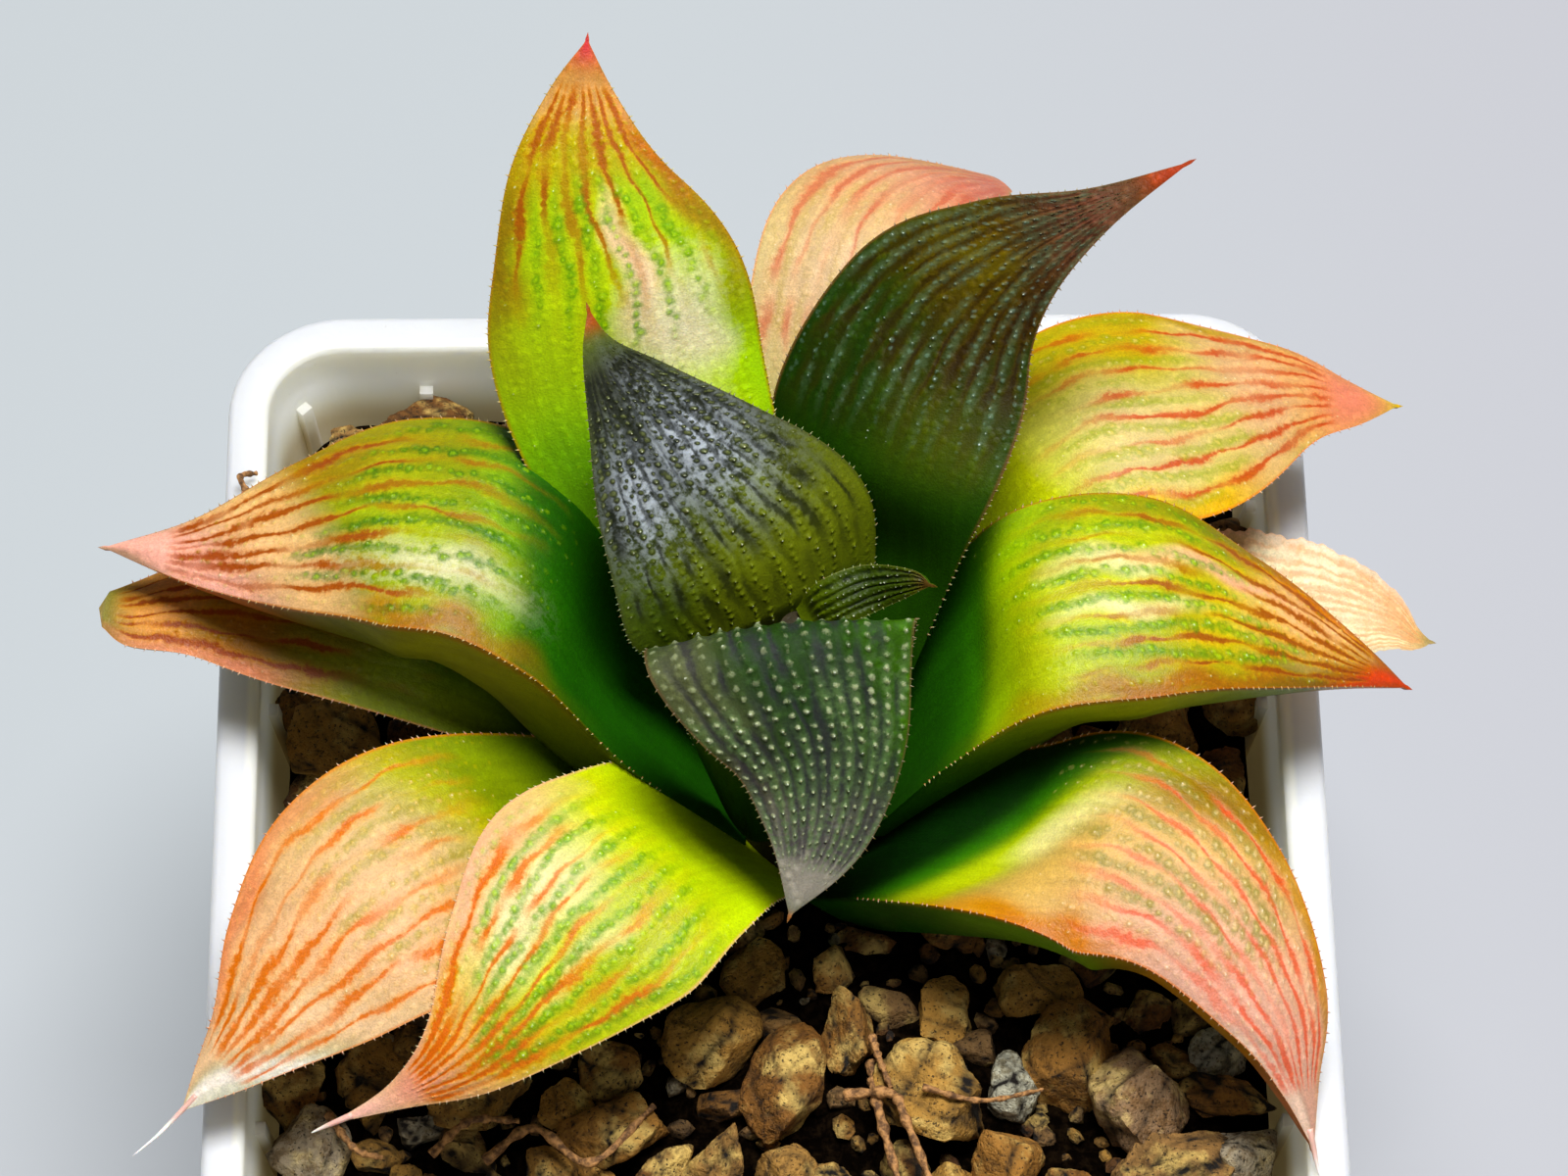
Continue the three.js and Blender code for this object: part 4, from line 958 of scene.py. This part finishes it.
def squareRing(half, radius, z, cornerSteps, edgeSteps=1):
    # A square with round corners, counter-clockwise from its right side: each corner's centre
    # + radius * (cos, sin) over a quarter turn, then even steps along the straight side.
    turn = np.linspace(0, math.pi / 2, cornerSteps + 1)
    arcs = []
    for corner, (x, y) in enumerate(((1, 1), (-1, 1), (-1, -1), (1, -1))):
        angle = turn + corner * math.pi / 2
        arcs.append(np.stack([x * (half - radius) + radius * np.cos(angle),
                              y * (half - radius) + radius * np.sin(angle)], 1))
    share = (np.arange(1, edgeSteps) / edgeSteps)[:, None]
    sides = [arc[-1] * (1 - share) + after[0] * share for arc, after in zip(arcs, arcs[1:] + arcs)]
    ring = np.concatenate([part for pair in zip(arcs, sides) for part in pair])
    return np.concatenate([ring, np.full((len(ring), 1), z)], 1)


def potMaterial(look):
    # White outside. Inside, the thin wall is brown low down and fades to a warm white between
    # two heights. Inside is where the distance from the square of
    # the corners' centres is less than the corner radius at that height.
    material, tree, sockets = newMaterial("pot_white", Specular_IOR_Level=0.5,
                                          Subsurface_Weight=0.8, Subsurface_Scale=0.006,
                                          Subsurface_Radius=(1.0, 0.93, 0.75))
    own = place(tree)
    x, y, z = split(tree, own)
    cloud, dust = spot(tree, own, 0.05, 3), spot(tree, own, 1.5, 4, 0.7)
    (footHalf, footRadius), (rimHalf, rimRadius) = (potInside(look, v) for v in (0, look["top"]))
    rise = look["top"] - look["rimDrop"]
    foot, rim = footHalf - footRadius, rimHalf - rimRadius
    past = [calc(tree, "MAXIMUM", scaled(tree, z, (foot - rim) / rise, calc(
        tree, "SUBTRACT", calc(tree, "ABSOLUTE", value), foot)), 0.0) for value in (x, y)]
    reach = calc(tree, "SQRT", calc(tree, "MULTIPLY_ADD", past[0], past[0],
                                    calc(tree, "MULTIPLY", past[1], past[1])))
    inside = ease(tree, scaled(tree, z, (footRadius - rimRadius) / rise, reach),
                  footRadius + 0.8, footRadius + 0.3)
    low, high = (tint(code) for code in look["insideLowHigh"])
    feed(tree, sockets["Base Color"], layered(
        tree, blend(tree, cloud, *(tint(code) for code in look["colours"])),
        (scaled(tree, inside, 0.8), blend(tree, ease(tree, z, *look["insideFade"]), low, high)),
        (scaled(tree, ease(tree, dust, 0.66, 0.74), 0.25), tint(look["dust"]))))
    feed(tree, sockets["Roughness"], scaled(tree, cloud, 0.15, 0.28))
    addBump(tree, sockets, spot(tree, own, 2.5, 2), 0.03, 0.4)
    return material


def makePot(look):
    # Rings of a rounded square from the middle of the underside, up the outside, over the lip
    # and down the inside; then the ribs are joined on and the drain holes cut.
    foot, body, rim, rimRadius = (look[k] for k in ("footHalf", "bodyHalf", "rimHalf",
                                                    "rimRadius"))
    top, floor, r = look["top"], look["floor"], look["round"]
    under = top - look["rimDrop"]
    rimIn, cornerIn = rim - look["rimWidth"], rimRadius - look["rimWidth"]
    arc = [(1 - math.cos(a), math.sin(a)) for a in np.linspace(0, math.pi / 2, 5)]
    profile = [(foot - 0.8, 4.2, 0), (foot - 0.25, 4.75, 0.25), (foot + 0.1, 5, 0.9),
               (body - 0.1, 7, under - 0.6), (body + 0.3, 7.2, under - 0.15),
               (body + 0.8, 7.5, under), (rim - 0.3, rimRadius - 0.3, under),
               (rim, rimRadius, under + 0.3)]
    profile += [(rim - r * a, rimRadius - r * a, top - r + r * b) for a, b in arc]
    profile += [(rimIn + r * a, cornerIn + r * a, top - r + r * b) for a, b in arc[::-1]]
    profile += [(rimIn, cornerIn, under + 0.4), (*potInside(look, under), under - 0.2),
                (*potInside(look, 3), 3.0), (potInside(look, floor)[0] - 0.8, 3.6, floor)]
    rings = np.array([squareRing(half, radius, z, 14) for half, radius, z in profile])
    points = np.concatenate([rings.reshape(-1, 3), [[0, 0, 0], [0, 0, floor]]])
    white = potMaterial(look)
    pot = makePiece("pot_fine", points, ringFaces(*rings.shape[:2]), white, "pot_plastic")
    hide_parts("pot")

    def wallHalf(z):
        return potInside(look, z)[0]

    def cornerHalf(z):
        half, radius = potInside(look, z)
        return math.sqrt(2) * (half - radius) + radius

    ribs = []
    for side in range(4):
        for along, turn, wallAt in [(rib, side, wallHalf) for rib in look["ribs"]] + [
                (0, side + 0.5, cornerHalf)]:
            w, low, high = look["ribWidth"] / 2, floor - 0.5, top - look["ribDrop"]
            proud, bite = look["ribProud"], look["ribBite"]
            fin = [[along + a, wallAt(z) + b, z] for z in (low, high) for a, b in (
                (-w, -proud), (w, -proud), (w, bite), (-w, bite))]
            fin += [[along, wallAt(z), z] for z in (low, high)]
            c, s = math.cos(turn * math.pi / 2), math.sin(turn * math.pi / 2)
            body = np.array(fin) @ np.array([[c, s, 0], [-s, c, 0], [0, 0, 1]])
            ribs.append((body, ringFaces(2, 4)))
    holes = []
    for x in (-look["holeSpot"], look["holeSpot"]):
        for y in (-look["holeSpot"], look["holeSpot"]):
            line = [[x, y, z] for z in (-3, 0, 3, 6)]
            holes.append(strand(line, lambda u: np.full(u.shape, float(look["holeRadius"])), 32, 3))
    for parts, operation in ((ribs, "UNION"), (holes, "DIFFERENCE")):
        tool = makePiece("pot_tool", *joined(parts), white)
        cut = pot.modifiers.new(operation.lower(), "BOOLEAN")
        cut.operation, cut.object, cut.solver, cut.use_self = operation, tool, "EXACT", True
        graph = bpy.context.evaluated_depsgraph_get()
        mesh = bpy.data.meshes.new_from_object(pot.evaluated_get(graph))
        pot.modifiers.clear()
        pot.data = mesh
        bpy.data.objects.remove(tool)
    pot.data.shade_smooth()
    pot.data.set_sharp_from_angle(angle=math.radians(35))


bedLook = {
    "top": 64.5, "floor": 2.3, "gap": 1.0, "pitch": 8.2, "jitter": 1.6, "bare": 12.0,
    "lengths": (6.5, 3), "widths": (0.65, 0.25), "heights": 2.4, "planes": 7,
    "press": (0.72, 0.22), "fill": 0.56, "apart": 0.4, "seed": 2024,
    "colours": ("050302", "181008"),
}
# Stones listed one by one where they show: x, y, middle over the bed, length, width, turn.
handStones = [
    [5.5, -17.7, 1.6, 6.8, 4.6, 85], [0.8, -21.8, 1.6, 9, 5.2, 70], [-5, -18.2, 0.6, 8, 6.2, 20],
    [-11.5, -25.4, 1.4, 7.8, 6.6, 30], [-8.3, -29, 1.8, 6.4, 3.4, 50],
    [-4.2, -28.7, 1.6, 6.8, 5, 80],
    [0.8, -29, 1.2, 5.2, 4.8, 0], [4.4, -31, 2, 6, 4.4, 15], [11.4, -23.3, 2.2, 8.8, 7.6, 145],
    [12.2, -30, 1.8, 4.6, 4, 20], [16.8, -21.8, 1, 5, 4.2, 110], [21, -20.2, 1.4, 8.2, 6.4, 100],
    [26, -23.7, 2.2, 9.6, 6.6, 55], [32.4, -22.7, 1.2, 7, 3.8, 160],
    [31.8, -19.4, 0.8, 4.2, 3.6, 60], [33.2, -27.4, 1.2, 6.2, 4.6, 170],
    [28.6, -29.1, 2, 8.6, 6.2, 12], [16.4, -28.3, 1.6, 6.6, 5.8, 80], [21, -30.5, 1, 5, 4, 0],
    [26.8, -15.5, 0.4, 3.6, 3.4, 0], [19, -13.5, 0.2, 6.4, 5, 10], [12.2, -15.6, 0, 5, 4.6, 60],
    [-12, -19.9, 0.4, 5, 4.4, 0], [-14.8, -23.1, 0.6, 4.4, 3.6, 90],
    [-33, -26.6, 1.4, 6.6, 5.2, 80], [-23, -31.2, 1.2, 6.8, 4.2, 5],
    [-31.8, 6.8, 1.4, 7.4, 6.6, 10], [-34.8, 9.8, 0.8, 4, 3.6, 40], [32.8, 3.1, 1.6, 5, 4.4, 60],
    [-25.2, 33.6, 1.8, 7.2, 5, 8], [-31, 31.4, 1.2, 5.6, 4.6, 150], [-19.6, 32, 1, 5, 4.6, 60],
]


def makeRandom(seed):
    # a fixed run of numbers from 0 to 1: state = 16807 state mod (2^31 - 1)
    state = [seed]

    def draw():
        state[0] = state[0] * 16807 % 2147483647
        return state[0] / 2147483647
    return draw


def bedHalf(look, z):
    # half the bed's width at a height, a gap off the pot's inner walls
    return potInside(potLook, z)[0] - look["gap"]


def layStones(look):
    # The same rule as the plain bed: listed stones first, then a jittered triangular grid,
    # whose stones stay inside the pot, off the plant and off the listed ones.
    draw = makeRandom(look["seed"])
    laid, (nearest, farther) = [], look["press"]
    (shortest, longer), (slimmest, wider) = look["lengths"], look["widths"]

    def lay(x, y, rise, length, width, turn):
        planes = [(2 * math.pi * draw(), 2 * draw() - 1, nearest + farther * draw())
                  for _ in range(look["planes"])]
        laid.append(([x, y, look["top"] + rise, length, width,
                      min(width, length) * 0.9, math.radians(turn)], planes))

    for stone in handStones:
        lay(*stone)
    inside = bedHalf(look, look["top"])
    step = look["pitch"] * math.sqrt(0.75)
    rows = math.ceil(inside / step)
    for row in range(-rows, rows + 1):
        for column in range(-rows, rows + 1):
            shift = 0 if row % 2 == 0 else 0.5
            x = (column + shift) * look["pitch"] + look["jitter"] * (draw() - 0.5)
            y = row * step + look["jitter"] * (draw() - 0.5)
            length = shortest + longer * draw()
            width = length * (slimmest + wider * draw())
            rise = look["heights"] * (draw() - 0.35)
            turn = 360 * draw()
            room = inside - length * 0.5
            fits = abs(x) < room and abs(y) < room and abs(x) + abs(y) < 2 * room - 5
            clear = all(math.hypot(x - h[0], y - h[1]) > look["apart"] * (length + h[3])
                        for h in handStones)
            if fits and clear and math.hypot(x - plantAxis[0], y) > look["bare"]:
                lay(x, y, rise, length, width, turn)
    return laid


stoneShape = {
    "extraPlanes": 7, "extraPress": (0.52, 0.8), "softness": 0.0002, "shadow": 0.055,
    # runs of swells: how fine, how many, their height and the depth of the cracks between them
    "swells": ((2.5, 4, 0.045, 0.06), (6.0, 5, 0.02, 0.04), (13.0, 6, 0.008, 0.015),
               (30.0, 6, 0.004, 0.0)),
    "pits": 8, "pitSpot": 0.85, "pitDepths": (0.02, 0.1), "pitWidths": (0.06, 0.2),
    # columns, rows and painted shade, from the listed stones down to the crumbs
    "grids": ((56, 32, 0), (32, 18, 0.1), (18, 10, 0.35), (8, 4, 0.45)),
}


def stoneShells(laid, columns, rows, rng, fill, shape):
    # A ball pressed in by planes, the rule's own and some more: p - n max(0, p.n - at), with
    # max made soft by (x + sqrt(x^2 + softness)) / 2. Then swells and cracks from sines and
    # pits as bells roughen it, and it is sized, turned and put in place. Returns every stone's
    # points, the faces of all and how much painted shade each point gets, deep in a crack and low
    # by the bed's top.
    count = len(laid)
    size = np.array([stone[0] for stone in laid])
    planes = np.array([stone[1] for stone in laid])
    extra = (count, shape["extraPlanes"])
    more = np.stack([rng.uniform(0, 6.3, extra), rng.uniform(-1, 1, extra),
                     rng.uniform(*shape["extraPress"], extra)], -1)
    planes = np.concatenate([planes, more], 1)
    lat = np.linspace(0, math.pi, rows + 2)[1:-1]
    lon = np.linspace(0, 2 * math.pi, columns, endpoint=False)
    ball = np.stack([np.sin(lat)[:, None] * np.cos(lon), np.sin(lat)[:, None] * np.sin(lon),
                     np.cos(lat)[:, None] * np.ones(columns)], -1).reshape(-1, 3)
    ball = np.concatenate([ball, [[0, 0, 1.0], [0, 0, -1.0]]])
    p = np.repeat(ball[None], count, 0)
    flat = np.sqrt(1 - planes[..., 1] ** 2)
    normals = np.stack([flat * np.cos(planes[..., 0]), flat * np.sin(planes[..., 0]),
                        planes[..., 1]], -1)
    for k in range(planes.shape[1]):
        n, at = normals[:, k, None], planes[:, k, 2, None]
        over = (p * n).sum(-1) - at
        p = p - n * (0.5 * (over + np.sqrt(over ** 2 + shape["softness"])))[..., None]
    bumps, creaseAndShade = np.zeros(p.shape[:2]), np.zeros(p.shape[:2])
    for fine, number, height, crack in shape["swells"]:
        for _ in range(number):
            way = unit(rng.normal(size=(count, 1, 3))) * fine
            swell = np.sin((p * way).sum(-1) + 9 * bumps + rng.uniform(0, 6.3, (count, 1)))
            bumps += swell * height
            creaseAndShade += crack * (1 - np.abs(swell)) ** 6 * (rng.random((count, 1)) > 0.5)
    p = p * (1 + (bumps - creaseAndShade)[..., None])
    for _ in range(shape["pits"]):
        middle = unit(rng.normal(size=(count, 1, 3))) * shape["pitSpot"]
        gap = np.linalg.norm(p - middle, axis=-1)
        depth, wide = (rng.uniform(*shape[key], (count, 1)) for key in ("pitDepths", "pitWidths"))
        p = p * (1 - (depth * np.exp(-(gap / wide) ** 2))[..., None])
    p = p * (size[:, None, 3:6] * fill)
    c, s = np.cos(size[:, 6])[:, None], np.sin(size[:, 6])[:, None]
    p = np.stack([p[..., 0] * c - p[..., 1] * s, p[..., 0] * s + p[..., 1] * c, p[..., 2]], -1)
    p = p + size[:, None, :3]
    # painted shade: darker from just above the bed's top downwards
    creaseAndShade += shape["shadow"] * smooth(0.9, -1.2, p[..., 2] - bedLook["top"])
    quads, caps = ringFaces(rows, columns)
    shift = (np.arange(count) * len(ball))[:, None, None]
    faces = [(quads[:, ::-1] + shift).reshape(-1, 4), (caps[:, ::-1] + shift).reshape(-1, 3)]
    return p, faces, creaseAndShade


stoneLook = {
    "run": ("5a3410", "8c5c22", "ac7830", "bc8c3c", "a0763e", "84643c"), "worn": "e0bc68",
    # the darkest colour is the painted shade of cracks and hollows
    "patch": "3e220a", "pale": ("ccccb4", "8a8468"), "speck": "1a1008", "paintedShade": "140d07",
}


def stoneMaterial(look):
    # tan, ochre and brown by stone, with paler worn patches, dark specks, and painted shade in the
    # cracks, at the stones' feet and on the small low stones
    material, tree, sockets = newMaterial("gravel_grain", Specular_IOR_Level=0.3)
    own = place(tree)
    tone, kind, shadeDim = split(tree, carried(tree, "stone")["Vector"])
    ramp = tree.nodes.new("ShaderNodeValToRGB")
    feed(tree, ramp.inputs[0], tone)
    for k, code in enumerate(look["run"]):
        mark = ramp.color_ramp.elements[k] if k < 2 else ramp.color_ramp.elements.new(1)
        mark.position, mark.color = k / (len(look["run"]) - 1), tint(code)
    large = spot(tree, own, 0.3, 4, 0.6)
    medium = spot(tree, own, 0.95, 5, 0.7)
    small = spot(tree, own, 3.6, 3, 0.6)
    pale = blend(tree, ease(tree, medium, 0.45, 0.62), *(tint(code) for code in look["pale"]))
    feed(tree, sockets["Base Color"], layered(
        tree, ramp.outputs[0],
        (ease(tree, large, 0.48, 0.66), tint(look["worn"])),
        (scaled(tree, ease(tree, medium, 0.52, 0.68), 0.7), tint(look["patch"])),
        (kind, pale),
        (scaled(tree, ease(tree, small, 0.58, 0.66), 0.9), tint(look["speck"])),
        (calc(tree, "MINIMUM", shadeDim, 1.0), tint(look["paintedShade"]))))
    feed(tree, sockets["Roughness"], scaled(tree, medium, 0.3, 0.55))
    addBump(tree, sockets, scaled(tree, small, -0.6, medium), 0.5)
    return material


# listed stones by number: how pale, and the place in the run of browns
paleStones = {10: 0.9, 12: 0.15, 14: 0.7, 15: 0.5, 24: 0.4}
stoneTones = {0: 0.3, 1: 0.2, 2: 0.55, 5: 0.75, 8: 0.6, 11: 0.35, 12: 0.15, 16: 0.8}
crumbLook = {
    "fillers": 700, "fillersSize": (3.4, 6.2), "fillersApart": 0.33, "crumbs": 1500,
    "crumbsSize": (0.9, 2.4), "crumbsApart": 0.3, "half": 34.6, "corner": 6, "bare": 8,
    "seed": 77,
}


def layCrumbs(laid, look, crumbs, kind, rng):
    # random small stones wherever no larger one lies: gap > apart * (length + other length)
    taken = [(s[0][0], s[0][1], s[0][3]) for s in laid]
    small, inside, apart = [], crumbs["half"], crumbs[kind + "Apart"]
    for _ in range(crumbs[kind]):
        x, y = rng.uniform(-inside, inside, 2)
        length = rng.uniform(*crumbs[kind + "Size"])
        free = all(math.hypot(x - a, y - b) > apart * (length + c) for a, b, c in taken)
        offPlant = math.hypot(x - plantAxis[0], y) > crumbs["bare"]
        if free and offPlant and abs(x) + abs(y) < 2 * inside - crumbs["corner"]:
            taken.append((x, y, length))
            stone = [x, y, look["top"] + 0.05 * length, length, length * rng.uniform(0.6, 0.95),
                     length * rng.uniform(0.5, 0.8), rng.uniform(0, 6.3)]
            small.append((stone, np.stack([rng.uniform(0, 6.3, look["planes"]),
                                           rng.uniform(-1, 1, look["planes"]),
                                           rng.uniform(0.72, 0.94, look["planes"])], 1)))
    return small


def makeStones(look, crumbs):
    # the listed stones in most detail, then the grid's, the fillers and the crumbs
    laid, rng = layStones(look), np.random.default_rng(crumbs["seed"])
    fillers = layCrumbs(laid, look, crumbs, "fillers", rng)
    tiny = layCrumbs(laid + fillers, look, crumbs, "crumbs", rng)
    grain, hand = stoneMaterial(stoneLook), len(handStones)
    parts, marks = [], []
    for group, (columns, rows, shadeDim) in zip((laid[:hand], laid[hand:], fillers, tiny),
                                           stoneShape["grids"]):
        points, faces, creaseAndShade = stoneShells(group, columns, rows, rng, look["fill"], stoneShape)
        count = len(group)
        tone, kind = rng.random(count), np.where(rng.random(count) > 0.93, 0.6, 0.0)
        if not parts:   # the listed stones have tones of their own
            kind[:] = 0
            kind[list(paleStones)] = list(paleStones.values())
            tone[list(stoneTones)] = list(stoneTones.values())
        parts.append((points.reshape(-1, 3), faces))
        # the third value is painted shade: the smaller, lower stones darker at random, then the
        # cracks and feet
        values = np.repeat(np.stack([tone, kind, shadeDim * rng.random(count)], 1), points.shape[1], 0)
        values[:, 2] += 11 * creaseAndShade.ravel()
        marks.append(values)
    for name, own in (("gravel_stones", slice(0, 1)), ("gravel_small_stones", slice(1, 4))):
        piece = makePiece(name, *joined(parts[own]), grain, "gravel_stone",
                          {"stone": np.concatenate(marks[own])}, 40)
        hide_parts("gravel")
    return sum(len(group) for group in (laid, fillers, tiny))


def cellBumps(x, y, pitch, seed):
    # half balls on jittered points, one a cell: the largest of radius * sqrt(1 - (gap / radius)^2)
    rng = np.random.default_rng(seed)
    table = rng.random((64, 64, 3))
    i, j = np.floor(x / pitch).astype(int), np.floor(y / pitch).astype(int)
    best = np.zeros(x.shape)
    for a in (-1, 0, 1):
        for b in (-1, 0, 1):
            cell = table[(i + a) % 64, (j + b) % 64]
            gap = np.hypot((i + a + cell[..., 0]) * pitch - x, (j + b + cell[..., 1]) * pitch - y)
            radius = pitch * (0.45 + 0.35 * cell[..., 2])
            best = np.maximum(best, np.sqrt(np.clip(1 - (gap / radius) ** 2, 0, 1)) * radius)
    return best


def makeBed(look):
    # The mix under the stones, a closed block. Its top is its outline shrunk by shares to the
    # middle, and its height is a level plus crumbs of two sizes.
    material = mottledMaterial("bed_soil", look["colours"], (1.1, 5, 0.7), (0.42, 0.7), 0.4,
                               Roughness=1.0, Specular_IOR_Level=0.0)
    half, bottom = bedHalf(look, look["top"]), bedHalf(look, look["floor"])
    outline = squareRing(half, 6.4, look["top"], 10, 36)
    shares = np.sqrt(np.linspace(0.0004, 1, 120)) ** 1.3
    top = outline[None] * np.array([1, 1, 0]) * shares[:, None, None]
    crumbs = (0.55 * cellBumps(top[..., 0], top[..., 1], 2.6, 5)
              + 0.5 * cellBumps(top[..., 0] + 40, top[..., 1] - 17, 1.2, 6))
    top[..., 2] = look["top"] - 0.9 + crumbs
    rings = np.concatenate([[squareRing(bottom, 5.1, look["floor"], 10, 36)], top[::-1]])
    middles = [[0, 0, look["floor"]], [0, 0, look["top"] - 0.6]]
    points = np.concatenate([rings.reshape(-1, 3), middles])
    piece = makePiece("gravel_bed", points, ringFaces(*rings.shape[:2]), material, "gravel_stone")
    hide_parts("gravel")


# each root: its thickness, then x, y and height over the bed; the last is a dry bit on the rim
rootLook = {
    "radius": 0.42, "colours": ("5a3a1c", "c08a50"),
    "lines": [
        (1.0, [[5, -23.5, 3.4], [8.2, -24, 4.6], [9.2, -26.2, 4.8], [10.8, -30.4, 4]]),
        (0.7, [[7, -19, 3.6], [7.4, -21, 4.4], [8.2, -23.6, 4.7]]),
        (1.1, [[7, -20.6, 2.6], [7.3, -24.5, 3.6], [8.6, -30, 3]]),
        (0.55, [[10.4, -24, 5.6], [14.5, -24.9, 5.2], [19, -23.2, 3.4]]),
        (0.8, [[-24.2, -27.8, 3.2], [-21.5, -25.6, 4], [-18, -25.4, 3.6]]),
        (0.9, [[-20.5, -27.5, 1.5], [-17, -25.6, 2.8], [-13, -28.6, 3.4], [-8.5, -24.2, 3.4]]),
        (0.7, [[-31.5, -24.5, 3], [-29.5, -27.6, 3.8], [-27.6, -28, 3.2]]),
        (0.7, [[-39.6, 23.2, 7.7], [-38.3, 23.4, 8.6], [-38.8, 24.9, 9.0], [-37.7, 25.7, 8.2]]),
    ],
}


def makeRoots(look, top):
    # strands that thin out and swell: radius * thick * (1 - 0.35 u) * (1 + two sines of u)
    material = mottledMaterial("root_bark", look["colours"], (1.8, 4, 0.6), (0.35, 0.65), 0.3,
                               Roughness=0.75)
    parts = []
    for thick, line in look["lines"]:
        path = [[x, y, top + z] for x, y, z in line]
        parts.append(strand(path, lambda u: look["radius"] * thick * (1 - 0.35 * u)
                            * (1 + 0.2 * np.sin(31 * u) + 0.12 * np.sin(57 * u + 1)), 10, 60))
    makePiece("dry_roots", *joined(parts), material, "gravel_stone")


print("stones laid:", makeStones(bedLook, crumbLook))
makeBed(bedLook)
makeRoots(rootLook, bedLook["top"])
makePot(potLook)
print("pot made")


studio = {
    "keyAt": (45, 60, 650), "keySize": 240, "keyPower": 5.1,
    "fillAt": (160, -420, 460), "fillSize": 380, "fillPower": 0.3, "aimAt": (0, 0, 80),
    "sky": "d0d6de", "skyPower": 0.12, "floor": "93989b", "floorRight": "919297",
    "rightFade": (-20, 80), "floorFront": "939498", "frontFade": (60, -60), "floorGlow": 0.9,
}


def makeStage(look):
    material, tree, sockets = newMaterial("floor_pale", Roughness=0.9)
    x, y, _ = split(tree, place(tree))
    colour = layered(tree, tint(look["floor"]),
                     (ease(tree, x, *look["rightFade"]), tint(look["floorRight"])),
                     (ease(tree, y, *look["frontFade"]), tint(look["floorFront"])))
    feed(tree, sockets["Base Color"], colour)
    feed(tree, sockets["Emission Color"], colour)
    sockets["Emission Strength"].default_value = look["floorGlow"]
    mesh = bpy.data.meshes.new("floor")
    mesh.from_pydata([(-3, -3, 0), (3, -3, 0), (3, 3, 0), (-3, 3, 0)], [], [(0, 1, 2, 3)])
    mesh.materials.append(material)
    newObject("floor", mesh)

    for name in ("key", "fill"):
        light = bpy.data.lights.new(name, "AREA")
        light.shape = "DISK"
        light.size = look[name + "Size"] * metres
        light.energy = look[name + "Power"]
        at = Vector(look[name + "At"]) * metres
        turn = (at - Vector(look["aimAt"]) * metres).to_track_quat("Z", "Y")
        newObject(name, light).matrix_world = (Matrix.Translation(at)
                                               @ turn.to_matrix().to_4x4())

    world = bpy.data.worlds.new("sky")
    world.use_nodes = True
    bpy.context.scene.world = world
    sky = world.node_tree.nodes["Background"]
    sky.inputs[0].default_value = tint(look["sky"])
    sky.inputs[1].default_value = look["skyPower"]
    bpy.context.scene.view_settings.view_transform = "Standard"


makeStage(studio)
